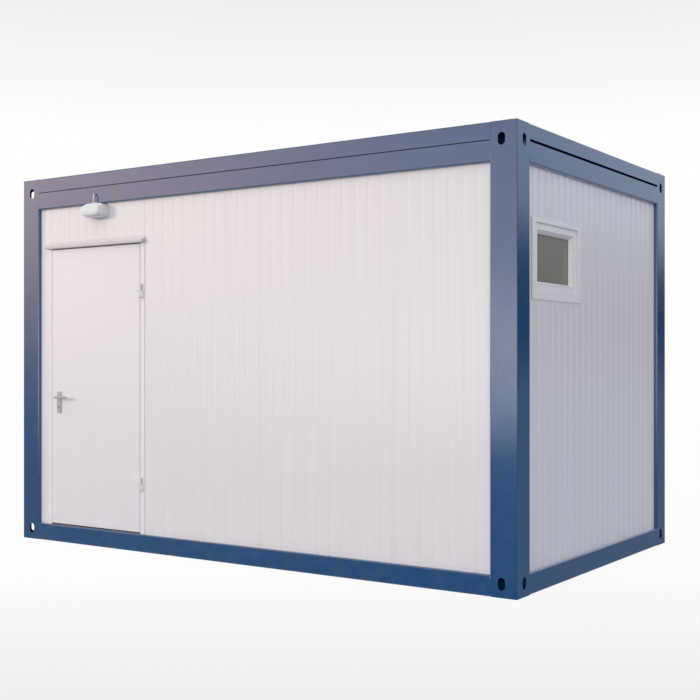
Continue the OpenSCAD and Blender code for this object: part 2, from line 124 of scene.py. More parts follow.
def between(tree, value, start, end, at_start=0.0, at_end=1.0, soft=True):
    """Maps value from start..end to at_start..at_end, held at both ends."""
    steps = "SMOOTHSTEP" if soft else "LINEAR"
    node = add_node(tree, "ShaderNodeMapRange", interpolation_type=steps)
    for name, number in (("Value", value), ("From Min", start), ("From Max", end),
                         ("To Min", at_start), ("To Max", at_end)):
        feed(tree, node.inputs[name], number)
    return node.outputs[0]


print("node helpers ready")

# %% [markdown]
# A finish starts as one Principled shader. Its patterns read Object coordinates,
# which are the cabin's own metres here, so dust keeps to the ground and the
# grain keeps its true size on every piece.

# %% Helpers that build finishes
def paint(red, green, blue):
    """A colour from a paint chart, 0 to 255, as the linear values shaders use."""
    linear = [((c / 255 + 0.055) / 1.055) ** 2.4 if c > 10 else c / 3295
              for c in (red, green, blue)]
    return (*linear, 1.0)


def new_finish(name, colour, roughness, metallic=0.0, **sockets):
    """A material with one Principled shader: (material, tree, shader)."""
    material = bpy.data.materials.new(name)
    material.use_nodes = True
    tree = material.node_tree
    shader = tree.nodes["Principled BSDF"]
    shader.inputs["Base Color"].default_value = colour
    shader.inputs["Roughness"].default_value = roughness
    shader.inputs["Metallic"].default_value = metallic
    for socket, value in sockets.items():
        shader.inputs[socket.replace("_", " ")].default_value = value
    material.diffuse_color = colour
    return material, tree, shader


def place(tree):
    """The Object coordinates, which are metres in the cabin's own frame."""
    return add_node(tree, "ShaderNodeTexCoord").outputs["Object"]


def grain(tree, scale, detail=3.0, stretch=(1, 1, 1), roughness=0.55):
    """Noise of that scale a metre, squeezed by stretch."""
    where = add_node(tree, "ShaderNodeMapping", {"Vector": place(tree), "Scale": stretch})
    noise = add_node(tree, "ShaderNodeTexNoise",
                     {"Vector": where.outputs[0], "Scale": scale, "Detail": detail,
                      "Roughness": roughness})
    return noise.outputs["Fac"]


def tint(tree, factor, first, second):
    """first where factor is 0, second where it is 1."""
    node = add_node(tree, "ShaderNodeMix", data_type="RGBA")
    feed(tree, node.inputs[0], factor)
    feed(tree, node.inputs[6], first)
    feed(tree, node.inputs[7], second)
    return node.outputs[2]


def emboss(tree, shader, height, strength, depth):
    """Adds a bump layer over what the shader's Normal already holds."""
    node = add_node(tree, "ShaderNodeBump",
                    {"Height": height, "Strength": strength, "Distance": depth})
    before = shader.inputs["Normal"].links
    if before:
        feed(tree, node.inputs["Normal"], before[0].from_socket)
    feed(tree, shader.inputs["Normal"], node.outputs[0])


print("finish helpers ready")

# %% [markdown]
# The steel frame wears a thick blue enamel. Sprayed enamel is never flat: it has
# an orange-peel skin and the pressed sheet under it waves a little. The welds are
# ground flush before painting. Road dust clings low down.

# %% Blue frame enamel
post_lo, post_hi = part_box("corner_post_front_right")
DUST = paint(122, 116, 106)


def low_dust(tree, top, share):
    """0 to share: thick at the ground, gone at top metres, broken by noise."""
    height = add_node(tree, "ShaderNodeSeparateXYZ", {"Vector": place(tree)}).outputs["Z"]
    fall = between(tree, height, 0.0, top, share, 0.0)
    patches = between(tree, grain(tree, 9.0, 5.0), 0.38, 0.66)
    return calc(tree, "MULTIPLY", fall, patches)


def frame_enamel():
    material, tree, shader = new_finish(
        "frame_enamel_blue", paint(27, 75, 124), 0.22, Coat_Weight=1.0, Coat_Roughness=0.08)
    clouds = between(tree, grain(tree, 1.4, 4.0), 0.3, 0.7)
    blue = tint(tree, clouds, paint(25, 73, 121), paint(29, 78, 127))
    feed(tree, shader.inputs["Base Color"], tint(tree, low_dust(tree, 0.5, 0.07), blue, DUST))
    feed(tree, shader.inputs["Roughness"],
         between(tree, grain(tree, 28.0, 4.0), 0.3, 0.75, 0.18, 0.26))
    emboss(tree, shader, grain(tree, 3.2, 1.0), 0.03, 0.04)
    emboss(tree, shader, grain(tree, 420.0, 2.0), 0.02, 0.0006)
    return material


blue_enamel = frame_enamel()
print("enamel:", len(blue_enamel.node_tree.nodes), "nodes")

# %% [markdown]
# The panels, the door and the rain rail are coil-coated sheet: a thin white
# lacquer baked on before the sheet was bent. It is smoother than enamel, but it
# still has a fine leather-like skin, rain leaves faint upright streaks, and
# splashes grey it near the ground.

# %% White coil coat
def coil_coat(name, light, shadow, roughness, skin=900.0, dust=0.06, **sockets):
    """White lacquer with faint streaks, a fine skin and dust low down."""
    material, tree, shader = new_finish(name, light, roughness, **sockets)
    streaks = between(tree, grain(tree, 1.0, 5.0, (34, 34, 0.7)), 0.42, 0.72, 0.0, 0.5)
    white = tint(tree, streaks, light, shadow)
    feed(tree, shader.inputs["Base Color"], tint(tree, low_dust(tree, 0.6, dust), white, DUST))
    emboss(tree, shader, grain(tree, 1.8, 1.0), 0.02, 0.03)
    emboss(tree, shader, grain(tree, skin, 2.0), 0.03, 0.0004)
    return material


wall_coat = coil_coat("outer_coil_coat", paint(228, 226, 227), paint(223, 221, 222), 0.2,
                      Specular_IOR_Level=0.7)
# The end walls take a copy of the same white, a touch bluer: painted cool shade on the end walls.
end_coat_painted_cool_shade = coil_coat("end_coil_coat", paint(228, 228, 231), paint(223, 223, 226), 0.2,
                     Specular_IOR_Level=1.1)
inner_coat = coil_coat("inner_coil_coat", paint(236, 235, 231), paint(228, 227, 222), 0.45,
                       dust=0.0)
door_coat = coil_coat("door_powder_coat", paint(231, 228, 230), paint(228, 225, 227), 0.26,
                      skin=600.0, dust=0.04)
hinge_coat = coil_coat("hinge_white_coat", paint(230, 228, 229), paint(224, 222, 223), 0.26)
rail_coat = coil_coat("rain_rail_coat", paint(208, 204, 205), paint(202, 198, 199), 0.3, dust=0.0)
flange_coat = coil_coat("rail_flange_coat", paint(220, 217, 217), paint(214, 211, 211), 0.3, dust=0.0)
# The flashings' white is tinted blue: painted bluish shade beside the blue posts.
strip_coat_painted_blue_shade = coil_coat("edge_strip_coat", paint(224, 226, 234), paint(219, 221, 229), 0.24)
print("coil coats ready")

# %% [markdown]
# The remaining finishes are plain metals, plastics, rubber and glass. Each gets
# the one or two marks that tell it from its neighbour: spangle on galvanised
# sheet, fine lines on brushed steel, flow marks in moulded plastic.

# %% Metals
def galvanised(name):
    material, tree, shader = new_finish(name, paint(150, 154, 158), 0.48, 0.6)
    spangle = add_node(tree, "ShaderNodeTexVoronoi", {"Vector": place(tree), "Scale": 70.0})
    bright = add_node(tree, "ShaderNodeSeparateColor", {"Color": spangle.outputs["Color"]})
    shades = between(tree, bright.outputs[0], 0.0, 1.0, 0.0, 1.0, soft=False)
    feed(tree, shader.inputs["Base Color"],
         tint(tree, shades, paint(138, 142, 147), paint(164, 167, 171)))
    feed(tree, shader.inputs["Roughness"], between(tree, bright.outputs[1], 0, 1, 0.42, 0.58))
    emboss(tree, shader, spangle.outputs["Distance"], 0.05, 0.0003)
    return material


def brushed(name, light, dark, roughness, metallic=1.0, lines=(900, 900, 30)):
    """Metal with fine lines, which run along the axis that is squeezed least."""
    material, tree, shader = new_finish(name, light, roughness, metallic)
    strokes = grain(tree, 1.0, 4.0, lines)
    feed(tree, shader.inputs["Base Color"],
         tint(tree, between(tree, strokes, 0.3, 0.7), light, dark))
    feed(tree, shader.inputs["Roughness"],
         between(tree, strokes, 0.25, 0.75, roughness - 0.07, roughness + 0.1))
    emboss(tree, shader, strokes, 0.15, 0.0002)
    return material


zinc_sheet = galvanised("spangled_zinc_sheet")
plate_steel = brushed("satin_plate_steel", paint(198, 194, 200), paint(182, 178, 184), 0.42, 0.4)
handle_steel = brushed("brushed_handle_steel", paint(208, 205, 212), paint(178, 175, 182), 0.38, 0.6)
cylinder_brass = brushed("cylinder_brass", paint(172, 165, 150), paint(146, 140, 126), 0.36)
screw_zinc = brushed("screw_zinc", paint(196, 198, 200), paint(160, 162, 166), 0.35)
print("metals ready")

# %% Plastics, rubber and glass
def plastic(name, light, dark, roughness, flow=5.0, **sockets):
    """Moulded plastic with soft flow marks and a fine eroded skin."""
    material, tree, shader = new_finish(name, light, roughness, **sockets)
    feed(tree, shader.inputs["Base Color"],
         tint(tree, between(tree, grain(tree, flow, 3.0), 0.3, 0.7), light, dark))
    emboss(tree, shader, grain(tree, 1400.0, 2.0), 0.03, 0.0002)
    return material


window_plastic = plastic("window_white_plastic", paint(236, 236, 238), paint(232, 232, 235), 0.24)
lamp_plastic = plastic("lamp_white_plastic", paint(236, 237, 236), paint(226, 228, 227), 0.32)
lead_plastic = plastic("lead_sheath_white", paint(230, 229, 227), paint(218, 217, 214), 0.45, 60.0)
seal_rubber = plastic("seal_rubber_black", paint(26, 26, 28), paint(38, 37, 38), 0.62, 40.0)
grey_rubber = plastic("glazing_rubber_grey", paint(140, 140, 138), paint(124, 124, 122), 0.6, 40.0)
print("plastics and rubber ready")


def obscured_glass():
    """Double glazing with a rolled pattern, which only lets dim shapes through."""
    material, tree, shader = new_finish(
        "obscured_glass", paint(196, 195, 183), 0.23, IOR=1.5, Transmission_Weight=0.7)
    pebbles = add_node(tree, "ShaderNodeTexVoronoi",
                       {"Vector": place(tree), "Scale": 520.0, "Smoothness": 0.7},
                       feature="SMOOTH_F1")
    feed(tree, shader.inputs["Roughness"], between(tree, grain(tree, 30), 0.3, 0.7, 0.2, 0.26))
    emboss(tree, shader, pebbles.outputs["Distance"], 0.12, 0.0006)
    return material


def opal_glass():
    """Milky glass that glows a little where light passes through its rim."""
    material, tree, shader = new_finish(
        "opal_lamp_glass", paint(232, 238, 236), 0.16, IOR=1.5, Subsurface_Weight=0.35)
    shader.inputs["Subsurface Radius"].default_value = (0.02, 0.02, 0.02)
    feed(tree, shader.inputs["Base Color"],
         tint(tree, between(tree, grain(tree, 26.0), 0.3, 0.7), paint(232, 238, 236),
              paint(222, 230, 228)))
    emboss(tree, shader, grain(tree, 90.0, 2.0), 0.05, 0.0005)
    return material


window_pane = obscured_glass()
lamp_opal = opal_glass()
print("glass ready")

# %% Floor covering and primer
def speckled_vinyl():
    material, tree, shader = new_finish("speckled_vinyl", paint(150, 152, 154), 0.45)
    flecks = add_node(tree, "ShaderNodeTexVoronoi", {"Vector": place(tree), "Scale": 240.0})
    pick = add_node(tree, "ShaderNodeSeparateColor", {"Color": flecks.outputs["Color"]}).outputs[0]
    base = tint(tree, between(tree, pick, 0.55, 0.6), paint(146, 148, 150), paint(120, 123, 127))
    feed(tree, shader.inputs["Base Color"],
         tint(tree, between(tree, pick, 0.86, 0.9), base, paint(188, 188, 184)))
    feed(tree, shader.inputs["Roughness"], between(tree, grain(tree, 12), 0.3, 0.7, 0.38, 0.55))
    emboss(tree, shader, grain(tree, 500.0, 2.0), 0.08, 0.0004)
    return material


def primed_steel():
    material, tree, shader = new_finish("primed_joist_steel", paint(64, 64, 66), 0.62)
    feed(tree, shader.inputs["Base Color"],
         tint(tree, between(tree, grain(tree, 7.0, 5.0), 0.35, 0.7), paint(58, 58, 60),
              paint(84, 80, 76)))
    emboss(tree, shader, grain(tree, 160.0, 3.0), 0.2, 0.0006)
    return material


def jointed_ceiling(pitch=1.0):
    """The inner coat again, with a joint line across it every pitch metres along X."""
    material = inner_coat.copy()
    material.name = "ceiling_coat"
    tree = material.node_tree
    split = add_node(tree, "ShaderNodeSeparateXYZ", {"Vector": place(tree)})
    away = calc(tree, "PINGPONG", split.outputs["X"], pitch / 2)
    emboss(tree, tree.nodes["Principled BSDF"], between(tree, away, 0.001, 0.004), 0.8, 0.002)
    return material


floor_vinyl = speckled_vinyl()
joist_primer = primed_steel()
ceiling_coat = jointed_ceiling()
print("floor, joists and ceiling ready")

# %% [markdown]
# Most parts here are folded, extruded or moulded, so their shape is a section
# carried along a line. Sections are short lists of corners with a radius each,
# and a helper turns every corner into an arc, as a press brake would.

# %% Helpers that make meshes
SHARP = radians(32)


def finished(mesh, *materials):
    """Closes doubles, turns the faces outwards and smooths all but the sharp edges."""
    work = bmesh.new()
    work.from_mesh(mesh)
    bmesh.ops.remove_doubles(work, verts=work.verts, dist=2e-6)
    bmesh.ops.recalc_face_normals(work, faces=work.faces)
    loose = sum(1 for edge in work.edges if len(edge.link_faces) != 2)
    for face in work.faces:
        face.smooth = True
    work.to_mesh(mesh)
    work.free()
    mesh.set_sharp_from_angle(angle=SHARP)
    if materials:
        mesh.materials.clear()
        for material in materials:
            mesh.materials.append(material)
    return loose


def shown(name, mesh):
    """Puts a mesh in the scene, its object at the origin."""
    piece = bpy.data.objects.new(name, mesh)
    scene.collection.objects.link(piece)
    return piece


def solid(name, corners, faces, material):
    """A piece from corners and faces."""
    mesh = bpy.data.meshes.new(name)
    mesh.from_pydata([tuple(c) for c in corners], [], faces)
    loose = finished(mesh, material)
    if loose:
        print(name, "has", loose, "open edges")
    return shown(name, mesh)


def rounded(corners, steps=5):
    """Turns each (u, v, radius) into an arc that touches both of its sides."""
    outline = []
    for i, (u, v, radius) in enumerate(corners):
        here = Vector((u, v))
        if radius <= 0:
            outline.append(here)
            continue
        back = (Vector(corners[i - 1][:2]) - here).normalized()
        ahead = (Vector(corners[(i + 1) % len(corners)][:2]) - here).normalized()
        half = back.angle(ahead) / 2
        centre = here + (back + ahead).normalized() * (radius / sin(half))
        first = here + back * (radius / tan(half)) - centre
        last = here + ahead * (radius / tan(half)) - centre
        turn = atan2(first.x * last.y - first.y * last.x, first.dot(last))
        for k in range(steps + 1):
            angle = turn * k / steps
            outline.append(centre + Vector((first.x * cos(angle) - first.y * sin(angle),
                                            first.x * sin(angle) + first.y * cos(angle))))
    return [(p.x, p.y) for p in outline]


AXES = {"X": (1, 2, 0), "Y": (0, 2, 1), "Z": (0, 1, 2)}


def spot(axis, u, v, along):
    """A point from a section's two directions and the distance along its axis."""
    point = [0.0, 0.0, 0.0]
    for slot, value in zip(AXES[axis], (u, v, along)):
        point[slot] = value
    return point


def stacked(name, axis, rings, material):
    """Joins like outlines, each (points, along), into one closed skin."""
    n = len(rings[0][0])
    corners = [spot(axis, u, v, along) for points, along in rings for u, v in points]
    faces = [tuple(range(n)), tuple(range(n * (len(rings) - 1), n * len(rings)))]
    for r in range(len(rings) - 1):
        faces += [(r * n + i, r * n + (i + 1) % n, (r + 1) * n + (i + 1) % n, (r + 1) * n + i)
                  for i in range(n)]
    return solid(name, corners, faces, material)


def shrunk(outline, inset):
    """An outline drawn towards its middle by inset on every side."""
    us, vs = [p[0] for p in outline], [p[1] for p in outline]
    u0, v0 = (min(us) + max(us)) / 2, (min(vs) + max(vs)) / 2
    share_u = 1 - 2 * inset / (max(us) - min(us))
    share_v = 1 - 2 * inset / (max(vs) - min(vs))
    return [(u0 + (u - u0) * share_u, v0 + (v - v0) * share_v) for u, v in outline]


def extrude(name, outline, axis, low, high, material, chamfer=0.0):
    """Carries an outline along an axis; chamfer breaks the edges of both ends."""
    if not chamfer:
        return stacked(name, axis, [(outline, low), (outline, high)], material)
    slim = shrunk(outline, chamfer)
    return stacked(name, axis, [(slim, low), (outline, low + chamfer),
                                (outline, high - chamfer), (slim, high)], material)


def box_outline(low, high, radius=0.0):
    """A rectangle from its low to its high corner, for rounded()."""
    return [(low[0], low[1], radius), (high[0], low[1], radius),
            (high[0], high[1], radius), (low[0], high[1], radius)]


def swept_section(name, axis, stations, section, material, closed=False):
    """Carries (inwards, depth) past stations (u, v, inwards' direction in u and v)."""
    n = len(section)
    corners = [spot(axis, u + su * inwards, v + sv * inwards, depth)
               for u, v, su, sv in stations for inwards, depth in section]
    count = len(stations)
    faces = []
    for c in range(count if closed else count - 1):
        d = (c + 1) % count
        faces += [(c * n + i, c * n + (i + 1) % n, d * n + (i + 1) % n, d * n + i)
                  for i in range(n)]
    if not closed:
        faces += [tuple(range(n)), tuple(range((count - 1) * n, count * n))]
    return solid(name, corners, faces, material)


def lathe(name, axis, centre, profile, material, sides=32):
    """Turns a profile of (radius, along) about an axis through centre; its ends close on it."""
    u0, v0 = centre
    corners, rings = [], []
    for radius, along in profile:
        if radius <= 0:
            rings.append([len(corners)])
            corners.append(spot(axis, u0, v0, along))
            continue
        rings.append(list(range(len(corners), len(corners) + sides)))
        corners += [spot(axis, u0 + radius * cos(2 * pi * k / sides),
                         v0 + radius * sin(2 * pi * k / sides), along) for k in range(sides)]
    faces = []
    for a, b in zip(rings, rings[1:]):
        for k in range(sides):
            loop = {a[k % len(a)]: 0, a[(k + 1) % len(a)]: 0,
                    b[(k + 1) % len(b)]: 0, b[k % len(b)]: 0}
            faces.append(tuple(loop))
    return solid(name, corners, faces, material)


def tube(name, path, radius, material, sides=16):
    """A round rod along a path, its ends closed."""
    points = [Vector(p) for p in path]
    corners, faces = [], []
    side = Vector((1, 0, 0))
    for i, p in enumerate(points):
        along = (points[min(i + 1, len(points) - 1)] - points[max(i - 1, 0)]).normalized()
        side = (side - along * side.dot(along)).normalized()
        up = along.cross(side)
        corners += [p + (side * cos(2 * pi * k / sides) + up * sin(2 * pi * k / sides)) * radius
                    for k in range(sides)]
    for i in range(len(points) - 1):
        faces += [(i * sides + k, i * sides + (k + 1) % sides,
                   (i + 1) * sides + (k + 1) % sides, (i + 1) * sides + k)
                  for k in range(sides)]
    faces += [tuple(range(sides)), tuple(range((len(points) - 1) * sides, len(corners)))]
    return solid(name, corners, faces, material)


def keep(piece, body, slot, *stands_for):
    """Rides the piece on its body and hides the nodes it stands for; slot is not used."""
    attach(piece, body)
    if stands_for:
        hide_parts(*stands_for)
    return piece


def joined(name, pieces):
    """One piece from several; their materials are kept."""
    work = bmesh.new()
    materials = []
    for piece in pieces:
        start = len(work.faces)
        work.from_mesh(piece.data)
        work.faces.ensure_lookup_table()
        own = list(piece.data.materials)
        materials += [m for m in own if m not in materials]
        for face in work.faces[start:]:
            face.material_index = materials.index(own[face.material_index])
    mesh = bpy.data.meshes.new(name)
    work.to_mesh(mesh)
    work.free()
    for material in materials:
        mesh.materials.append(material)
    for piece in pieces:
        bpy.data.objects.remove(piece)
    mesh.set_sharp_from_angle(angle=SHARP)
    return shown(name, mesh)


print("mesh helpers ready")

# %% [markdown]
# What repeats is grown by Geometry Nodes: the ribs of the panels and the roof,
# the rows of screws, and the rubber seals that run round a frame. Each tree has
# named inputs. A helper sets them, grows the piece and turns it into plain mesh.

# %% Growing a piece from a tree
def new_tree(name, sockets):
    """An empty geometry tree with those inputs: (tree, its inputs, feeder of its result)."""
    tree = bpy.data.node_groups.new(name, "GeometryNodeTree")
    tree.is_modifier = True
    tree.interface.new_socket("Geometry", in_out="INPUT", socket_type="NodeSocketGeometry")
    for label, kind in sockets.items():
        tree.interface.new_socket(label, in_out="INPUT", socket_type="NodeSocket" + kind)
    tree.interface.new_socket("Geometry", in_out="OUTPUT", socket_type="NodeSocketGeometry")
    given = tree.nodes.new("NodeGroupInput").outputs
    result = tree.nodes.new("NodeGroupOutput").inputs[0]
    return tree, given, result


def grow(name, tree, **values):
    """Grows a plain mesh from a tree; an input's spaces are underscores here."""
    piece = shown(name, bpy.data.meshes.new(name))
    modifier = piece.modifiers.new(name, "NODES")
    modifier.node_group = tree
    for item in tree.interface.items_tree:
        key = item.name.replace(" ", "_")
        if item.in_out == "INPUT" and key in values:
            modifier[item.identifier] = values[key]
    depsgraph = bpy.context.evaluated_depsgraph_get()
    mesh = bpy.data.meshes.new_from_object(piece.evaluated_get(depsgraph), depsgraph=depsgraph)
    piece.modifiers.remove(modifier)
    piece.data = mesh
    own = list(mesh.materials)
    filled = [material for material in own if material]
    loose = finished(mesh)
    places = [filled.index(own[face.material_index]) for face in mesh.polygons]
    mesh.materials.clear()
    for material in filled:
        mesh.materials.append(material)
    mesh.polygons.foreach_set("material_index", places)
    print(f"{name}: {len(mesh.polygons)} faces, {loose} open edges")
    return piece


def thickened(tree, sheet, offset):
    """Closes a sheet into a plate: the sheet, its copy moved by offset, and the sides."""
    pulled = add_node(tree, "GeometryNodeExtrudeMesh",
                      {"Mesh": sheet, "Offset": offset, "Individual": False})
    both = add_node(tree, "GeometryNodeJoinGeometry")
    for mesh in (sheet, pulled.outputs["Mesh"]):
        tree.links.new(mesh, both.inputs[0])
    merged = add_node(tree, "GeometryNodeMergeByDistance",
                      {"Geometry": both.outputs[0], "Distance": 1e-5})
    return merged.outputs[0]


print("growing helpers ready")

# %% [markdown]
# A sandwich panel's outer sheet is rolled with a shallow groove every 91 mm,
# eleven to a metre. Where two panels lock together, two fine lines with a seam
# between them take the groove's place. The tree draws that section along a row
# of points, closes it against the flat inner sheet, fills it and pulls it up.

# %% Ribbed panel tree
PANEL = 1.0
RIBS = 11
STEP = PANEL / RIBS / 32
# Half width, slope and depth of the lines where two panels lock
PAIR_LINE = (0.002, 0.004, 0.0012)
SEAM_LINE = (0.0005, 0.003, 0.0022)


def ribbed_panel_tree():
    tree, given, result = new_tree("ribbed_panel", {
        "From": "Float", "To": "Float", "Outer": "Float", "Inner": "Float",
        "Low": "Float", "High": "Float", "Points": "Int", "Phase": "Float",
        "Pitch": "Float", "Panel": "Float", "Groove": "Float", "Slope": "Float",
        "Depth": "Float", "Joint": "Float", "Turned": "Bool",
        "Outer coat": "Material", "Inner coat": "Material"})
    index = add_node(tree, "GeometryNodeInputIndex").outputs[0]
    last = calc(tree, "SUBTRACT", given["Points"], 1.0)
    share = calc(tree, "DIVIDE", calc(tree, "SUBTRACT", index, 1.0), last, clamp=True)
    run = calc(tree, "MULTIPLY_ADD", share,
               calc(tree, "SUBTRACT", given["To"], given["From"]), given["From"])
    phased = calc(tree, "SUBTRACT", run, given["Phase"])

    def line_at(away, width, slope, depth):
        """depth within width of a line, then 0 past its slope."""
        return between(tree, away, width, calc(tree, "ADD", width, slope), depth, 0.0)

    from_rib = calc(tree, "PINGPONG", phased, calc(tree, "MULTIPLY", given["Pitch"], 0.5))
    from_joint = calc(tree, "PINGPONG", phased, calc(tree, "MULTIPLY", given["Panel"], 0.5))
    rib = line_at(from_rib, given["Groove"], given["Slope"], given["Depth"])
    pair = line_at(calc(tree, "ABSOLUTE", calc(tree, "SUBTRACT", from_joint, given["Joint"])),
                   *PAIR_LINE)
    seam = line_at(from_joint, *SEAM_LINE)
    near = calc(tree, "LESS_THAN", from_joint, calc(tree, "MULTIPLY", given["Pitch"], 0.45))
    depth = add_node(tree, "ShaderNodeMix", {0: near, 2: rib,
                                             3: calc(tree, "MAXIMUM", pair, seam)}).outputs[0]
    inwards = calc(tree, "SIGN", calc(tree, "SUBTRACT", given["Inner"], given["Outer"]))
    ribbed = calc(tree, "MULTIPLY_ADD", depth, inwards, given["Outer"])
    on_front = calc(tree, "MULTIPLY", calc(tree, "GREATER_THAN", index, 0.5),
                    calc(tree, "LESS_THAN", index, calc(tree, "ADD", given["Points"], 0.5)))
    across = add_node(tree, "ShaderNodeMix",
                      {0: on_front, 2: given["Inner"], 3: ribbed}).outputs[0]

    straight = add_node(tree, "ShaderNodeCombineXYZ", {0: run, 1: across})
    swapped = add_node(tree, "ShaderNodeCombineXYZ", {0: across, 1: run})
    place_of = add_node(tree, "GeometryNodeSwitch",
                        {"Switch": given["Turned"], "False": straight.outputs[0],
                         "True": swapped.outputs[0]}, input_type="VECTOR")
    row = add_node(tree, "GeometryNodeMeshLine",
                   {"Count": calc(tree, "ADD", given["Points"], 2.0)})
    drawn = add_node(tree, "GeometryNodeSetPosition",
                     {"Geometry": row.outputs[0], "Position": place_of.outputs[0]})
    outline = add_node(tree, "GeometryNodeMeshToCurve", {"Mesh": drawn.outputs[0]})
    ring = add_node(tree, "GeometryNodeSetSplineCyclic",
                    {"Geometry": outline.outputs[0], "Cyclic": True})
    filled = add_node(tree, "GeometryNodeFillCurve", {"Curve": ring.outputs[0]}, mode="NGONS")
    lift = add_node(tree, "ShaderNodeCombineXYZ",
                    {2: calc(tree, "SUBTRACT", given["High"], given["Low"])})
    footed = add_node(tree, "GeometryNodeSetPosition",
                      {"Geometry": filled.outputs[0], "Offset": add_node(
                          tree, "ShaderNodeCombineXYZ", {2: given["Low"]}).outputs[0]})
    plate = thickened(tree, footed.outputs[0], lift.outputs[0])

    realized = add_node(tree, "GeometryNodeRealizeInstances", {"Geometry": plate})
    coated = add_node(tree, "GeometryNodeSetMaterial",
                      {"Geometry": realized.outputs[0], "Material": given["Outer coat"]})
    spot_of = add_node(tree, "ShaderNodeSeparateXYZ",
                       {0: add_node(tree, "GeometryNodeInputPosition").outputs[0]})
    depth_axis = add_node(tree, "ShaderNodeMix", {0: given["Turned"], 2: spot_of.outputs["Y"],
                                                  3: spot_of.outputs["X"]}).outputs[0]
    off_inner = calc(tree, "ABSOLUTE", calc(tree, "SUBTRACT", depth_axis, given["Inner"]))
    lined = add_node(tree, "GeometryNodeSetMaterial",
                     {"Geometry": coated.outputs[0], "Material": given["Inner coat"],
                      "Selection": calc(tree, "LESS_THAN", off_inner, 1e-4)})
    tree.links.new(lined.outputs[0], result)
    return tree


ribbed_panel = ribbed_panel_tree()
print("ribbed panel tree:", len(ribbed_panel.nodes), "nodes")

# %% [markdown]
# The same tree makes every wall. The wall's packed box says where the panels
# start and end and how thick they are; the phase says where a joint falls. The
# window's opening is cut afterwards with a plain box, as a fitter would saw it.

# %% Walls
def cut(piece, low, high):
    """Saws the box from low to high out of a piece."""
    corners = [(x, y, z) for x in (low[0], high[0]) for y in (low[1], high[1])
               for z in (low[2], high[2])]
    faces = [(0, 1, 3, 2), (4, 5, 7, 6), (0, 1, 5, 4), (2, 3, 7, 6), (0, 2, 6, 4), (1, 3, 7, 5)]
    saw = solid("saw", corners, faces, piece.data.materials[0])
    modifier = piece.modifiers.new("saw", "BOOLEAN")
    modifier.object = saw
    modifier.solver = "EXACT"
    depsgraph = bpy.context.evaluated_depsgraph_get()
    mesh = bpy.data.meshes.new_from_object(piece.evaluated_get(depsgraph), depsgraph=depsgraph)
    piece.modifiers.remove(modifier)
    piece.data = mesh
    bpy.data.objects.remove(saw)
    print(f"{piece.name}: {finished(mesh)} open edges after the cut")


GROOVE_HALF, GROOVE_SLOPE = 0.0028, 0.0085
PAIR_AT = 0.0185


def ribbed_wall(node, name, along_x, inside, phase, depth):
    """Grows the panels of one wall node; inside is the side, + or -, that the room lies on."""
    low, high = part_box(node)
    run, across = (0, 1) if along_x else (1, 0)
    outer, inner = (low, high) if inside > 0 else (high, low)
    return grow(name, ribbed_panel, From=low[run], To=high[run], Outer=outer[across],
                Inner=inner[across], Low=low.z, High=high.z,
                Points=round((high[run] - low[run]) / STEP) + 1, Phase=phase,
                Pitch=PANEL / RIBS, Panel=PANEL, Groove=GROOVE_HALF, Slope=GROOVE_SLOPE, Depth=depth,
                Joint=PAIR_AT, Turned=not along_x, Inner_coat=inner_coat,
                Outer_coat=wall_coat if along_x else end_coat_painted_cool_shade)


FRONT_JOINT = 0.2
END_JOINT = -0.776
# How deep the grooves of the long walls and of the end walls are
SHALLOW, DEEP = 0.0014, 0.004
WALLS = [("front_wall_left", True, 1, FRONT_JOINT, SHALLOW),
         ("front_wall_over_door", True, 1, FRONT_JOINT, SHALLOW),
         ("front_wall_right", True, 1, FRONT_JOINT, SHALLOW),
         ("back_wall", True, -1, 0.0, SHALLOW), ("left_wall", False, 1, 0.0, DEEP),
         ("right_wall", False, -1, END_JOINT, DEEP)]
frame_lo, frame_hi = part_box("window_frame")
for node, along_x, inside, phase, depth in WALLS:
    panels = ribbed_wall(node, node + "_panels", along_x, inside, phase, depth)
    if node == "right_wall":
        cut(panels, (frame_lo.x - 0.01, frame_lo.y, frame_lo.z), (cad_hi.x, frame_hi.y, frame_hi.z))
    keep(panels, "cabin", "panel_white", node)

# %% [markdown]
# Where the panels meet the posts a slim white flashing covers the cut edge; its
# white is tinted blue, a painted shade beside the blue posts. It is one folded
# strip, so it is a section again, drawn once and run up each post.

# %% Edge flashings
wall_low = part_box("floor_beam_front")[1].z
wall_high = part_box("roof_beam_front")[0].z
outer_y = -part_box("front_wall_right")[0].y
outer_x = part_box("right_wall")[1].x
FLASHING = 0.03
FLASHING_T = 0.0014


def flashing(name, axis_is_x, run_end, face, sign_run, sign_face):
    """A strip beside a post: run_end is the post's edge, face the wall's outer face."""
    run = sorted((sign_run * run_end, sign_run * (run_end - FLASHING)))
    depth = sorted((sign_face * face, sign_face * (face + FLASHING_T)))
    low, high = (run[0], depth[0]), (run[1], depth[1])
    if not axis_is_x:
        low, high = (depth[0], run[0]), (depth[1], run[1])
    return extrude(name, rounded(box_outline(low, high, 0.0006), 2), "Z",
                   wall_low, wall_high, strip_coat_painted_blue_shade)


strips = []
for sign in (-1, 1):
    for side in (-1, 1):
        strips.append(flashing("strip", True, post_lo.x, outer_y, side, sign))
        strips.append(flashing("strip", False, -post_hi.y, outer_x, side, sign))
keep(joined("edge_flashings", strips), "cabin", "panel_white")
print("edge flashings:", len(strips), "strips")

# %% [markdown]
# Between each beam and its corner blocks the folded edges leave a groove. It is
# welded full and ground flush, so a short length of the beam's own outline fills it.

# %% Ground welds
BEND = 0.007


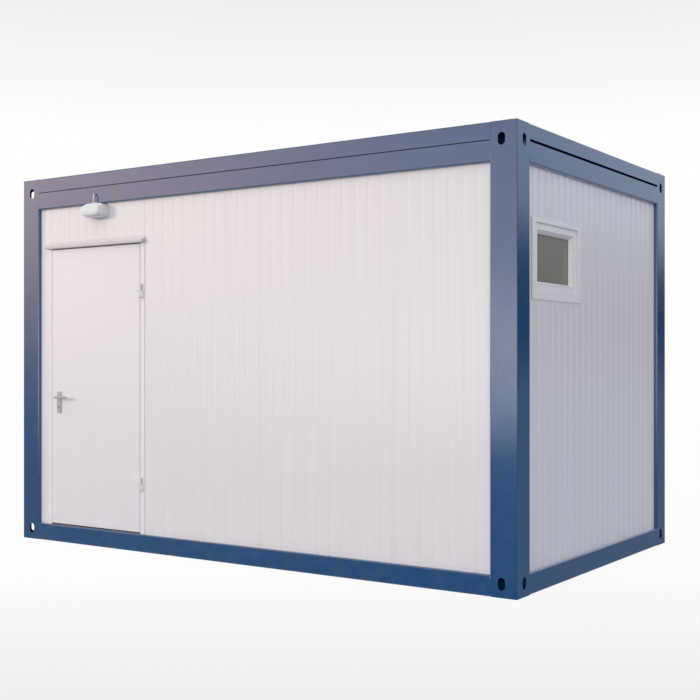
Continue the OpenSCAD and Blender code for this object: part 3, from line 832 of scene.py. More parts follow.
def ground_welds(node, along_x):
    """Fills the grooves at both ends of a beam, out to the corner blocks."""
    low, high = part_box(node)
    run, across, axis = (0, 1, "X") if along_x else (1, 0, "Y")
    back_side = low[across] + high[across] > 0
    face = high[across] if back_side else low[across]
    inner = face - BEND if back_side else face + BEND
    outline = rounded([(inner, low.z, 0), (face, low.z, BEND), (face, high.z, BEND),
                       (inner, high.z, 0)])
    ends = ((low[run] - BEND, low[run]), (high[run], high[run] + BEND))
    return [extrude("weld", outline, axis, start, end, blue_enamel) for start, end in ends]


welds = []
for level in ("floor_beam_", "roof_beam_"):
    for side in ("front", "back", "left", "right"):
        welds += ground_welds(level + side, side in ("front", "back"))
keep(joined("ground_welds", welds), "cabin", "frame_blue")
print("ground welds:", len(welds))

# %% [markdown]
# Screws and seals repeat too. A screw row is a line of points with one small
# head on each, and the tree realizes the copies so that they export as mesh. A
# seal is a round bead that runs round a rectangle with small corner radii.

# %% Screw row tree
def screw_row_tree():
    tree, given, result = new_tree("screw_row", {
        "Start": "Vector", "End": "Vector", "Count": "Int", "Radius": "Float",
        "Height": "Float", "Sides": "Int", "Turn": "Vector", "Metal": "Material"})
    head = add_node(tree, "GeometryNodeMeshCone", {
        "Vertices": given["Sides"], "Radius Top": calc(tree, "MULTIPLY", given["Radius"], 0.72),
        "Radius Bottom": given["Radius"], "Depth": given["Height"]})
    washer = add_node(tree, "GeometryNodeMeshCone", {
        "Vertices": 20, "Radius Top": calc(tree, "MULTIPLY", given["Radius"], 1.45),
        "Radius Bottom": calc(tree, "MULTIPLY", given["Radius"], 1.6),
        "Depth": calc(tree, "MULTIPLY", given["Height"], 0.3)})
    screw = add_node(tree, "GeometryNodeJoinGeometry")
    tree.links.new(head.outputs["Mesh"], screw.inputs[0])
    tree.links.new(washer.outputs["Mesh"], screw.inputs[0])
    line = add_node(tree, "GeometryNodeMeshLine", {
        "Count": given["Count"], "Start Location": given["Start"], "Offset": given["End"]},
        mode="END_POINTS")
    turn = add_node(tree, "FunctionNodeEulerToRotation", {0: given["Turn"]})
    copies = add_node(tree, "GeometryNodeInstanceOnPoints", {
        "Points": line.outputs[0], "Instance": screw.outputs[0], "Rotation": turn.outputs[0]})
    real = add_node(tree, "GeometryNodeRealizeInstances", {"Geometry": copies.outputs[0]})
    plated = add_node(tree, "GeometryNodeSetMaterial",
                      {"Geometry": real.outputs[0], "Material": given["Metal"]})
    tree.links.new(plated.outputs[0], result)
    return tree


screw_row = screw_row_tree()
OUT_FRONT = (radians(90), 0.0, 0.0)
OUT_BACK = (radians(-90), 0.0, 0.0)


def screws(name, start, end, count, turn, metal=screw_zinc, radius=0.0035, height=0.002,
           sides=12):
    return grow(name, screw_row, Start=start, End=end, Count=count, Radius=radius,
                Height=height, Sides=sides, Turn=turn, Metal=metal)


print("screw row tree:", len(screw_row.nodes), "nodes")

# %% Rubber seal tree
def rubber_seal_tree():
    tree, given, result = new_tree("rubber_seal", {
        "Width": "Float", "Height": "Float", "Corner": "Float", "Centre": "Vector",
        "Radius": "Float", "Turned": "Bool", "Rubber": "Material"})
    ring = add_node(tree, "GeometryNodeCurvePrimitiveQuadrilateral",
                    {"Width": given["Width"], "Height": given["Height"]})
    eased = add_node(tree, "GeometryNodeFilletCurve",
                     {"Curve": ring.outputs[0], "Radius": given["Corner"], "Count": 4},
                     mode="POLY")
    bead = add_node(tree, "GeometryNodeCurvePrimitiveCircle",
                    {"Resolution": 10, "Radius": given["Radius"]})
    swept = add_node(tree, "GeometryNodeCurveToMesh",
                     {"Curve": eased.outputs[0], "Profile Curve": bead.outputs[0]})
    at = add_node(tree, "ShaderNodeSeparateXYZ",
                  {0: add_node(tree, "GeometryNodeInputPosition").outputs[0]}).outputs
    facing_front = add_node(tree, "ShaderNodeCombineXYZ", {0: at["X"], 1: at["Z"], 2: at["Y"]})
    facing_end = add_node(tree, "ShaderNodeCombineXYZ", {0: at["Z"], 1: at["X"], 2: at["Y"]})
    upright = add_node(tree, "GeometryNodeSwitch",
                       {"Switch": given["Turned"], "False": facing_front.outputs[0],
                        "True": facing_end.outputs[0]}, input_type="VECTOR")
    set_up = add_node(tree, "GeometryNodeSetPosition", {
        "Geometry": swept.outputs[0], "Position": upright.outputs[0], "Offset": given["Centre"]})
    real = add_node(tree, "GeometryNodeRealizeInstances", {"Geometry": set_up.outputs[0]})
    covered = add_node(tree, "GeometryNodeSetMaterial",
                       {"Geometry": real.outputs[0], "Material": given["Rubber"]})
    tree.links.new(covered.outputs[0], result)
    return tree


rubber_seal = rubber_seal_tree()
print("rubber seal tree:", len(rubber_seal.nodes), "nodes")

# %% [markdown]
# The roof is one skin of galvanised sheet with a trapezoid rib every 200 mm. The
# ribs run down both slopes from the ridge. A grid takes its height from two
# rules, the fall of the roof and the rib, and is then thickened like the panels.

# %% Ribbed roof sheet
def roof_sheet_tree():
    tree, given, result = new_tree("roof_sheet", {
        "Length": "Float", "Width": "Float", "Points": "Int", "Edge": "Float",
        "Rise": "Float", "Pitch": "Float", "Rib": "Float", "Rib width": "Float",
        "Sheet": "Float", "Metal": "Material"})
    plane = add_node(tree, "GeometryNodeMeshGrid", {
        "Size X": given["Length"], "Size Y": given["Width"],
        "Vertices X": given["Points"], "Vertices Y": 3})
    at = add_node(tree, "ShaderNodeSeparateXYZ",
                  {0: add_node(tree, "GeometryNodeInputPosition").outputs[0]}).outputs
    half = calc(tree, "MULTIPLY", given["Width"], 0.5)
    fall = calc(tree, "DIVIDE", calc(tree, "ABSOLUTE", at["Y"]), half)
    slope = calc(tree, "MULTIPLY", calc(tree, "SUBTRACT", 1.0, fall), given["Rise"])
    away = calc(tree, "PINGPONG", at["X"], calc(tree, "MULTIPLY", given["Pitch"], 0.5))
    half_rib = calc(tree, "MULTIPLY", given["Rib width"], 0.5)
    rib = between(tree, away, half_rib, calc(tree, "ADD", half_rib, 0.012), given["Rib"], 0.0,
                  soft=False)
    height = calc(tree, "ADD", calc(tree, "ADD", slope, rib), given["Edge"])
    shaped = add_node(tree, "GeometryNodeSetPosition", {
        "Geometry": plane.outputs["Mesh"],
        "Offset": add_node(tree, "ShaderNodeCombineXYZ", {2: height}).outputs[0]})
    down = add_node(tree, "ShaderNodeCombineXYZ",
                    {2: calc(tree, "MULTIPLY", given["Sheet"], -1.0)})
    plate = thickened(tree, shaped.outputs[0], down.outputs[0])
    real = add_node(tree, "GeometryNodeRealizeInstances", {"Geometry": plate})
    zinc = add_node(tree, "GeometryNodeSetMaterial",
                    {"Geometry": real.outputs[0], "Material": given["Metal"]})
    tree.links.new(zinc.outputs[0], result)
    return tree


roof_tree = roof_sheet_tree()
roof_lo, roof_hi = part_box("roof_sheet")
ROOF_RISE = 0.02
ROOF_RIB, ROOF_RIB_W = 0.009, 0.024
ROOF_PITCH = 0.2
ROOF_POINTS = 641
ROOF_T = 0.0012
roof_sheet = grow("roof_ribbed_sheet", roof_tree, Length=roof_hi.x - roof_lo.x,
                  Width=roof_hi.y - roof_lo.y, Points=ROOF_POINTS, Edge=roof_hi.z - ROOF_RISE,
                  Rise=ROOF_RISE, Pitch=ROOF_PITCH, Rib=ROOF_RIB, Rib_width=ROOF_RIB_W,
                  Sheet=ROOF_T, Metal=zinc_sheet)
keep(roof_sheet, "cabin", "galvanised_sheet", "roof_sheet")

# %% [markdown]
# Each eave of the roof sheet is screwed down through the flats between its ribs,
# with one hexagon head and washer to a flat.

# %% Roof screws
eave_y = roof_hi.y - 0.03
eave_z = roof_hi.z - ROOF_RISE * eave_y / roof_hi.y
END_SCREW, EAVE_SCREWS = 1.7, 18
for side, name in ((-1, "front"), (1, "back")):
    row = screws(f"roof_screws_{name}", (-END_SCREW, side * eave_y, eave_z),
                 (END_SCREW, side * eave_y, eave_z), EAVE_SCREWS, (0.0, 0.0, 0.0),
                 radius=0.005, height=0.004, sides=6)
    keep(row, "cabin", "galvanised_sheet")

# %% [markdown]
# The door frame is folded sheet steel: a face that stands a little proud of the
# panels, a rounded nose, and a stop behind the leaf. Its section runs up one
# jamb, over the head and down the other, mitred at both corners. The sill below
# is a separate threshold profile.

# %% Door frame and threshold
doorway_lo, doorway_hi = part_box("door_frame")
leaf_lo, leaf_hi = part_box("door_leaf")
GAP = 0.0065
FACE = 0.04
STOP_LAP = 0.015
stop_y = leaf_hi.y + GAP
sill_top = leaf_lo.z - GAP
jamb_section = rounded([(0, doorway_hi.y, 0), (0, doorway_lo.y, 0.003),
                        (FACE, doorway_lo.y, 0.003), (FACE, stop_y, 0.001),
                        (FACE + STOP_LAP, stop_y, 0.002), (FACE + STOP_LAP, doorway_hi.y, 0)])
left, right, head = doorway_lo.x, doorway_hi.x, doorway_hi.z
foot = wall_low + 0.0005
door_frame = swept_section("door_frame_folded", "Y", [
    (left, foot, 1, 0), (left, head, 1, -1), (right, head, -1, -1), (right, foot, -1, 0)],
    jamb_section, door_coat)
keep(door_frame, "cabin", "door_white", "door_frame")

opening_x = (left + FACE, right - FACE)
threshold = [(doorway_lo.y, foot), (doorway_lo.y, sill_top - 0.0006),
             (doorway_lo.y + 0.004, sill_top), (stop_y, sill_top)]
threshold += [(stop_y, sill_top + STOP_LAP), (doorway_hi.y, sill_top + STOP_LAP),
              (doorway_hi.y, doorway_lo.z), (-outer_y + 0.0005, doorway_lo.z),
              (-outer_y + 0.0005, foot)]
sill = extrude("door_threshold", threshold, "X", *opening_x, zinc_sheet)
keep(sill, "cabin", "door_white")
print("door opening:", [round(v, 4) for v in opening_x], "sill at", round(sill_top, 4))

# %% [markdown]
# The leaf is two steel trays folded over an insulating core. What shows is the
# flat face, the soft fold at its edges and the seam where the trays meet on the
# thin sides, so the outline has rounded folds and a fine groove half way back.
# A thin lip along its closing edge covers most of the gap to the frame.

# %% Door leaf
FOLD = 0.002
SEAM = 0.0008
leaf_outline = [(leaf_lo.x, leaf_lo.z), (leaf_hi.x, leaf_lo.z),
                (leaf_hi.x, leaf_hi.z), (leaf_lo.x, leaf_hi.z)]
middle_y = (leaf_lo.y + leaf_hi.y) / 2
fold = [(FOLD * (1 - sin(radians(a))), FOLD * (1 - cos(radians(a)))) for a in range(0, 91, 15)]
profile = [(inset, leaf_lo.y + back) for inset, back in fold]
profile += [(0, middle_y - 2 * SEAM), (SEAM, middle_y), (0, middle_y + 2 * SEAM)]
profile += [(inset, leaf_hi.y - back) for inset, back in reversed(fold)]
door_leaf = stacked("door_leaf_trays", "Y",
                    [(shrunk(leaf_outline, inset), y) for inset, y in profile], door_coat)
keep(door_leaf, "door", "door_white", "door_leaf")
LIP_W, LIP_T = 0.0056, 0.0015
lip_outline = rounded(box_outline((leaf_lo.x - LIP_W, leaf_lo.y + 0.001),
                                  (leaf_lo.x + 0.001, leaf_lo.y + 0.001 + LIP_T), 0.0006), 2)
lip = extrude("door_closing_lip", lip_outline, "Z", leaf_lo.z + 0.004, leaf_hi.z - 0.004, door_coat)
keep(lip, "door", "door_white")
print("leaf:", [round(v, 4) for v in (leaf_hi.x - leaf_lo.x, leaf_hi.z - leaf_lo.z)])

# %% Door seal, forend and strike plate
seal_in = FACE + STOP_LAP / 2 + 0.003
seal_y = stop_y - GAP / 2 + 0.0001
seal_low = sill_top + STOP_LAP / 2 + 0.003
seal_high = head - seal_in
door_seal = grow("door_seal", rubber_seal, Width=right - left - 2 * seal_in,
                 Height=seal_high - seal_low, Corner=0.006, Radius=0.0031, Turned=False,
                 Centre=((left + right) / 2, seal_y, (seal_low + seal_high) / 2),
                 Rubber=grey_rubber)
keep(door_seal, "cabin", "door_white")

pivots = {joint["name"]: Vector(joint["pos_m"]) for joint in frame["joints"]}
spindle = pivots["door_lever_turn"]
hinge = pivots["door_hinge"]
LOCK_LOW, LOCK_HIGH = spindle.z - 0.14, spindle.z + 0.095
forend = extrude("lock_forend", rounded(box_outline((middle_y - 0.01, LOCK_LOW),
                                                    (middle_y + 0.01, LOCK_HIGH), 0.004)),
                 "X", leaf_lo.x - 0.0004, leaf_lo.x + 0.002, handle_steel)
bolt = extrude("latch_bolt_face", rounded(box_outline((middle_y - 0.006, spindle.z + 0.012),
                                                      (middle_y + 0.006, spindle.z + 0.042), 0.002)),
               "X", leaf_lo.x - 0.001, leaf_lo.x + 0.002, screw_zinc)
keep(joined("lock_forend_plate", [forend, bolt]), "door", "handle_metal")
strike = extrude("strike_plate", rounded(box_outline((middle_y - 0.012, LOCK_LOW - 0.01),
                                                     (middle_y + 0.012, LOCK_HIGH + 0.01), 0.004)),
                 "X", opening_x[0] - 0.002, opening_x[0] + 0.0006, handle_steel)
cut(strike, (opening_x[0] - 0.001, middle_y - 0.008, spindle.z + 0.008),
    (opening_x[0] + 0.002, middle_y + 0.008, spindle.z + 0.046))
keep(strike, "cabin", "handle_metal")

# %% [markdown]
# The hinges are lift-off ones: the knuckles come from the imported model, and each
# gets a domed cap where its pin ends. The handle has an outer and an inner plate
# with a broken edge, a collar round the lever's neck and two screws each.

# %% Hinge caps
lowest_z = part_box("hinge_frame_halves")[0].z
highest_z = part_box("hinge_leaf_halves")[1].z
HINGE_H = 0.09
KNUCKLE_R = 0.01
dome = [(0, 0.0035), (0.004, 0.0033), (0.0075, 0.0023), (0.0094, 0.0006), (KNUCKLE_R, -0.0012),
        (0, -0.0012)]
for name, body, tops, way in (
        ("hinge_caps_upper", "door", (lowest_z + HINGE_H, highest_z), 1),
        ("hinge_caps_lower", "cabin", (lowest_z, highest_z - HINGE_H), -1)):
    caps = [lathe("cap", "Z", (hinge.x, hinge.y), [(r, top + way * rise) for r, rise in dome],
                  hinge_coat, 24) for top in tops]
    keep(joined(name, caps), body, "hinge_metal")

# %% Handle plates
plates_lo, plates_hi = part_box("handle_plates")
PLATE_EDGE = 0.0018
PLATE_IN = 0.003
plate_outline = rounded(box_outline((plates_lo.x + PLATE_IN, plates_lo.z),
                                    (plates_hi.x - PLATE_IN, plates_hi.z), 0.006))
LEVER_R = 0.009
parts = []
for low_y, high_y, way in ((plates_lo.y, leaf_lo.y, -1), (leaf_hi.y, plates_hi.y, 1)):
    face = plates_lo.y if way < 0 else plates_hi.y
    parts.append(extrude("plate", plate_outline, "Y", low_y, high_y, plate_steel, PLATE_EDGE))
    collar = [(LEVER_R + 0.0006, face - way * 0.001), (0.0135, face - way * 0.001),
              (0.0135, face + way * 0.001), (0.0122, face + way * 0.0022),
              (LEVER_R + 0.0006, face + way * 0.0022)]
    parts.append(lathe("collar", "Y", (spindle.x, spindle.z), collar + collar[:1], plate_steel))
handle_plates = joined("handle_plates_bevelled", parts)
keep(handle_plates, "door", "handle_metal", "handle_plates")
INSET = 0.013
for name, face, turn in (("outer", plates_lo.y, OUT_FRONT), ("inner", plates_hi.y, OUT_BACK)):
    row = screws(f"handle_screws_{name}", (spindle.x, face, plates_lo.z + INSET),
                 (spindle.x, face, plates_hi.z - INSET), 2, turn, plate_steel, 0.003, 0.001)
    keep(row, "door", "handle_metal")

# %% Lock cylinder
core_lo, core_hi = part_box("lock_cylinder")
core_r = (core_hi.x - core_lo.x) / 2
core_z = (core_hi.z + core_lo.z) / 2
barrel = [(0, core_lo.y + 0.0008), (0.0058, core_lo.y + 0.0008), (0.006, core_lo.y),
          (core_r - 0.0012, core_lo.y), (core_r, core_lo.y + 0.0012),
          (core_r, core_hi.y - 0.0012), (core_r - 0.0012, core_hi.y), (0.006, core_hi.y),
          (0.0058, core_hi.y - 0.0008), (0, core_hi.y - 0.0008)]
cylinder = lathe("lock_cylinder_turned", "Y", (spindle.x, core_z), barrel, cylinder_brass)
for low_y, high_y in ((core_lo.y - 0.001, core_lo.y + 0.006), (core_hi.y - 0.006, core_hi.y + 0.001)):
    cut(cylinder, (spindle.x - 0.001, low_y, core_z - 0.0045), (spindle.x + 0.001, high_y, core_z + 0.004))
keep(cylinder, "door", "cylinder_metal", "lock_cylinder")

# %% [markdown]
# Over the door runs a rain rail: one strip folded into a shallow gutter with a
# high back flange and a front lip. Its ends are closed by turned-up ears. The
# flange is a shade paler than the gutter and is held by a row of screws.

# %% Rain rail
rail_lo, rail_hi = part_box("door_drip_rail")
SHEET = 0.0016
LIP_H = 0.02
wall_y, back_y = rail_hi.y, doorway_lo.y
lip_y, foot_z, lip_z = rail_lo.y, rail_lo.z, rail_lo.z + LIP_H
gutter = rounded([(back_y, foot_z, 0), (lip_y, foot_z, 0.003), (lip_y, lip_z, 0.001),
                  (lip_y + SHEET, lip_z, 0.001), (lip_y + SHEET, foot_z + SHEET, 0.002),
                  (back_y - SHEET, foot_z + SHEET, 0.002), (back_y - SHEET, lip_z, 0.001),
                  (back_y, lip_z, 0)], 3)
flange = rounded([(back_y, lip_z, 0), (back_y - SHEET, lip_z, 0), (back_y - SHEET, head + SHEET, 0.001),
                  (wall_y - SHEET, head + SHEET, 0.001), (wall_y - 0.0004, rail_hi.z, 0),
                  (wall_y, rail_hi.z, 0), (wall_y, head, 0), (back_y, head, 0)], 3)
rail_parts = [extrude("rain_rail_fold", gutter, "X", rail_lo.x, rail_hi.x, rail_coat),
              extrude("rain_rail_flange", flange, "X", rail_lo.x, rail_hi.x, flange_coat)]
EAR_RISE = 0.006
for low_x in (rail_lo.x, rail_hi.x - SHEET):
    ear = rounded([(back_y, foot_z, 0), (lip_y, foot_z, 0.003), (lip_y, lip_z + EAR_RISE, 0.003),
                   (back_y - SHEET, lip_z + EAR_RISE / 2, 0.002), (back_y, lip_z, 0)])
    rail_parts.append(extrude("ear", ear, "X", low_x, low_x + SHEET, rail_coat))
keep(joined("rain_rail", rail_parts), "cabin", "rail_white", "door_drip_rail")
RAIL_SCREWS = 7
screw_z = head - 0.008
row = screws("rain_rail_screws", (rail_lo.x + 0.05, back_y - SHEET, screw_z),
             (rail_hi.x - 0.05, back_y - SHEET, screw_z), RAIL_SCREWS, OUT_FRONT,
             flange_coat, 0.0045, 0.0012)
keep(row, "cabin", "rail_white")

# %% [markdown]
# The window is white plastic: a fixed frame, a sloping bead that holds the glass
# with a narrow groove beside the frame, two panes with a spacer between them and rubber on both
# sides of the glass. All are sections swept round the opening with mitred
# corners, as the extrusions are welded on the real window.

# %% Window frame and bead
def ring_piece(name, low, high, section, material):
    """A section (inwards, x) swept round the rectangle low..high in the end wall."""
    stations = [(low[0], low[1], 1, 1), (high[0], low[1], -1, 1),
                (high[0], high[1], -1, -1), (low[0], high[1], 1, -1)]
    return swept_section(name, "X", stations, section, material, closed=True)


window_low, window_high = (frame_lo.y, frame_lo.z), (frame_hi.y, frame_hi.z)
bead_lo, bead_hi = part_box("window_sash")
glass_lo, glass_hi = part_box("window_glass")
trim_lo, trim_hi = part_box("window_trim")
FACE_W = bead_lo.y - frame_lo.y
BEAD_W = 0.018
fixed = rounded([(0, frame_lo.x, 0.002), (0, frame_hi.x, 0.001), (FACE_W, frame_hi.x, 0.0008),
                 (FACE_W, frame_lo.x, 0.002)], 4)
window_frame = ring_piece("window_frame_profile", window_low, window_high, fixed, window_plastic)
keep(window_frame, "cabin", "window_white", "window_frame")
bead = rounded([(FACE_W, bead_lo.x, 0), (FACE_W, bead_hi.x - 0.006, 0.0005),
                (FACE_W + 0.003, bead_hi.x - 0.006, 0.0005), (FACE_W + 0.0035, bead_hi.x, 0.0008),
                (FACE_W + 0.006, bead_hi.x, 0.001), (FACE_W + BEAD_W - 0.002, bead_lo.x + 0.007, 0.001),
                (FACE_W + BEAD_W, bead_lo.x + 0.004, 0.001), (FACE_W + BEAD_W, bead_lo.x, 0)], 4)
keep(ring_piece("window_bead_profile", window_low, window_high, bead, window_plastic),
     "cabin", "window_white", "window_sash")

# %% Double glazing
PANE = 0.004
pane_low, pane_high = (glass_lo.y, glass_lo.z), (glass_hi.y, glass_hi.z)
panes = [extrude("pane", rounded(box_outline(pane_low, pane_high, 0.001), 2), "X", x, x + PANE,
                 window_pane, 0.0004) for x in (glass_lo.x, glass_hi.x - PANE)]
spacer = ring_piece("spacer", pane_low, pane_high,
                    [(0.001, glass_lo.x + PANE + 0.0002), (0.001, glass_hi.x - PANE - 0.0002),
                     (0.013, glass_hi.x - PANE - 0.0002), (0.013, glass_lo.x + PANE + 0.0002)],
                    seal_rubber)
keep(joined("window_double_glazing", [*panes, spacer]), "cabin", "window_glass", "window_glass")
sight_in = FACE_W + BEAD_W
for name, x in (("outer", glass_hi.x + 0.001), ("inner", glass_lo.x - 0.0006)):
    inset = sight_in if name == "outer" else FACE_W + 0.004
    seal = grow(f"window_seal_{name}", rubber_seal,
                Width=window_high[0] - window_low[0] - 2 * inset,
                Height=window_high[1] - window_low[1] - 2 * inset, Corner=0.003, Radius=0.0018,
                Turned=True, Rubber=grey_rubber,
                Centre=(x, (window_low[0] + window_high[0]) / 2,
                        (window_low[1] + window_high[1]) / 2))
    keep(seal, "cabin", "window_glass")

# %% Window trim
TRIM_LAP = 0.004
plate = extrude("window_trim_plate", rounded(box_outline((trim_lo.y, trim_lo.z),
                                                         (trim_hi.y, trim_hi.z), 0.003)),
                "X", outer_x, trim_hi.x, window_plastic, 0.0012)
cut(plate, (outer_x - 0.01, window_low[0] + TRIM_LAP, window_low[1] + TRIM_LAP),
    (trim_hi.x + 0.01, window_high[0] - TRIM_LAP, window_high[1] - TRIM_LAP))
reveal = [(TRIM_LAP, frame_hi.x + 0.0002), (TRIM_LAP, outer_x), (0.0005, outer_x),
          (0.0005, frame_hi.x + 0.0002)]
trim = joined("window_trim_cover", [plate, ring_piece("reveal", window_low, window_high, reveal,
                                                      window_plastic)])
keep(trim, "cabin", "window_white", "window_trim")
print("window trim:", [round(v, 3) for v in (trim_lo.y, trim_hi.y, trim_lo.z, trim_hi.z)])

# %% [markdown]
# The bulkhead lamp is two mouldings: a white oval base with a rim and an opal
# glass that bulges out of it. Both are stacks of ovals, each a little smaller
# than the last. The glass has fine prisms inside, which show as soft flutes.

# %% Oval lamp
body_lo, body_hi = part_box("lamp_body")
dome_lo, dome_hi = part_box("lamp_glass")
lamp_x = (dome_lo.x + dome_hi.x) / 2
# The oval is a little slimmer and lower than its packed box, and sits a little higher
LAMP_LIFT, LAMP_SLIM, LAMP_LESS = 0.004, 0.012, 0.016
lamp_z = (dome_lo.z + dome_hi.z) / 2 + LAMP_LIFT
LAMP_W = body_hi.x - body_lo.x - LAMP_SLIM
LAMP_H = 2 * (lamp_z - body_lo.z) - LAMP_LESS
FULLNESS = 0.5


def oval(inset, flute=0.0, steps=128):
    """The lamp's oval, fuller than an ellipse, drawn in by inset; every other point by flute."""
    points = []
    for k in range(steps):
        angle = 2 * pi * k / steps
        inwards = inset + flute * (k % 2)
        u, v = cos(angle), sin(angle)
        points.append((lamp_x + copysign((LAMP_W / 2 - inwards) * abs(u) ** FULLNESS, u),
                       lamp_z + copysign((LAMP_H / 2 - inwards) * abs(v) ** FULLNESS, v)))
    return points


base_rings = [(0.003, body_hi.y), (0.001, body_hi.y - 0.002), (0.001, body_lo.y + 0.012),
              (0.0, body_lo.y + 0.0105), (0.0, body_lo.y + 0.002), (0.001, body_lo.y + 0.0004),
              (0.0025, body_lo.y), (0.0062, body_lo.y), (0.0068, body_lo.y + 0.0008)]
lamp_base = stacked("lamp_base", "Y", [(oval(i), y) for i, y in base_rings], lamp_plastic)
keep(lamp_base, "cabin", "lamp_white", "lamp_body")
BULGE = body_lo.y - dome_lo.y
RIM_IN = 0.0072
EDGE_IN = 0.012
FLUTE = 0.0004
dome_rings = [(RIM_IN, body_lo.y + 0.003, 0.0), (RIM_IN, body_lo.y, FLUTE)]
for k in range(1, 10):
    angle = radians(10 * k)
    dome_rings.append((RIM_IN + EDGE_IN * (1 - cos(angle)), body_lo.y - 0.92 * BULGE * sin(angle),
                       FLUTE))
dome_rings += [(RIM_IN + EDGE_IN + 0.010, body_lo.y - 0.97 * BULGE, 0.0),
               (RIM_IN + EDGE_IN + 0.022, dome_lo.y, 0.0)]
lamp_dome = stacked("lamp_opal_dome", "Y", [(oval(i, f), y) for i, y, f in dome_rings], lamp_opal)
keep(lamp_dome, "cabin", "lamp_glass", "lamp_glass")
print("lamp:", round(LAMP_W, 3), "by", round(LAMP_H, 3))

# %% Lamp lead
lead_lo, lead_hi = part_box("lamp_lead")
GROMMET_R = 0.009
LEAD_R = 0.004
LEAD_BEND = 0.02
lead_x = (lead_lo.x + lead_hi.x) / 2
beam_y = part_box("roof_beam_front")[0].y
lead_y = beam_y - LEAD_BEND - 0.0015
bend_z = lead_hi.z - GROMMET_R
route = [(lead_x, lead_y, lead_lo.z - 0.008), (lead_x, lead_y, bend_z - LEAD_BEND - 0.01)]
route += [(lead_x, lead_y + LEAD_BEND * (1 - cos(radians(a))),
           bend_z - LEAD_BEND + LEAD_BEND * sin(radians(a))) for a in range(0, 91, 9)]
route.append((lead_x, beam_y + 0.001, bend_z))
lead = tube("lamp_lead_sheath", route, LEAD_R, lead_plastic)
keep(lead, "cabin", "lead_white", "lamp_lead")
ring = [(LEAD_R, beam_y - 0.003), (0.007, beam_y - 0.003), (GROMMET_R, beam_y - 0.0018),
        (GROMMET_R, beam_y + 0.0005), (LEAD_R, beam_y + 0.0005)]
grommet = lathe("grommet", "Y", (lead_x, bend_z), ring + ring[:1], seal_rubber)
gland_z = lead_lo.z
gland = [(LEAD_R, gland_z - 0.003), (0.0062, gland_z - 0.003), (0.0062, gland_z + 0.003),
         (0.0048, gland_z + 0.006), (LEAD_R, gland_z + 0.006)]
collar = lathe("gland", "Z", (lead_x, lead_y), gland + gland[:1], lamp_plastic, 24)
keep(joined("lamp_lead_fittings", [grommet, collar]), "cabin", "lead_white")
print("lead at", [round(v, 4) for v in (lead_x, lead_y, bend_z)])

# %% [markdown]
# Inside, the room is lined with flat white sheet. A plastic skirting runs along
# the floor, a cove along the ceiling, and flat strips cover the joints round the
# door frame and the window. They are what one sees through the open door.

# %% Skirting, cove and inner strips
room_lo, room_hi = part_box("floor_deck")
ceiling_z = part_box("ceiling_panel")[0].z
SKIRT_H, SKIRT_T, COVE = 0.06, 0.01, 0.03


def run_along_wall(name, z_low, z_high, reach, start, end, at, axis, way, top_slim):
    """A strip along a wall: at is the wall's face and way points into the room."""
    near, far = at, at + way * reach
    low_far, high_far = (far, at + way * 0.002) if top_slim else (at + way * 0.002, far)
    outline = rounded([(near, z_low, 0), (low_far, z_low, 0.0006), (high_far, z_high, 0.0006),
                       (near, z_high, 0)], 3)
    return extrude(name, outline, axis, start, end, inner_coat)


skirts, coves = [], []
runs = [("Y", room_lo.x, 1, room_lo.y, room_hi.y), ("Y", room_hi.x, -1, room_lo.y, room_hi.y),
        ("X", room_hi.y, -1, room_lo.x, room_hi.x), ("X", room_lo.y, 1, room_lo.x, left - 0.05),
        ("X", room_lo.y, 1, right + 0.05, room_hi.x)]
for axis, at, way, start, end in runs:
    skirts.append(run_along_wall("skirt", room_hi.z, room_hi.z + SKIRT_H, SKIRT_T, start, end, at,
                                 axis, way, True))
for axis, at, way, start, end in [*runs[:3], ("X", room_lo.y, 1, room_lo.x, room_hi.x)]:
    coves.append(run_along_wall("cove", ceiling_z - COVE, ceiling_z, COVE, start, end, at,
                                axis, way, False))
keep(joined("skirting", skirts), "cabin", "ceiling_white")
keep(joined("ceiling_cove", coves), "cabin", "ceiling_white")

STRIP_W, STRIP_T = 0.045, 0.003
door_strip = swept_section("inner_door_strip", "Y", [
    (left, room_hi.z, -1, 0), (left, head, -1, 1), (right, head, 1, 1), (right, room_hi.z, 1, 0)],
    rounded([(-0.006, room_lo.y, 0), (-0.006, room_lo.y + STRIP_T, 0.001),
             (STRIP_W, room_lo.y + STRIP_T, 0.001), (STRIP_W, room_lo.y, 0)], 3), inner_coat)
keep(door_strip, "cabin", "door_white")
window_strip = ring_piece("inner_window_strip", window_low, window_high, rounded([
    (-STRIP_W, room_hi.x, 0), (-STRIP_W, room_hi.x - STRIP_T, 0.001),
    (0.0, room_hi.x - STRIP_T, 0.001), (0.0, room_hi.x, 0)], 3), window_plastic)
keep(window_strip, "cabin", "window_white")
print("room:", [round(b - a, 3) for a, b in zip(room_lo, room_hi)], "ceiling at", ceiling_z)

# %% [markdown]
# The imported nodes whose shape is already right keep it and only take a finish:
# the whole frame, the joists, the under sheets, the deck, the ceiling, the hinges
# and the lever.

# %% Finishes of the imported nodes
FINISHES = [(("floor_beam", "roof_beam", "corner_post", "bottom_corner", "top_corner"), blue_enamel),
            (("floor_joists",), joist_primer), (("floor_under_sheets",), zinc_sheet),
            (("floor_deck",), floor_vinyl), (("ceiling_panel",), ceiling_coat),
            (("hinge_",), hinge_coat), (("door_lever",), handle_steel)]
for starts, material in FINISHES:
    matched = [n for n in nodes if n.startswith(starts)]
    for name in matched:
        nodes[name].data.materials.clear()
        nodes[name].data.materials.append(material)
    print(material.name, "on", len(matched), "nodes")

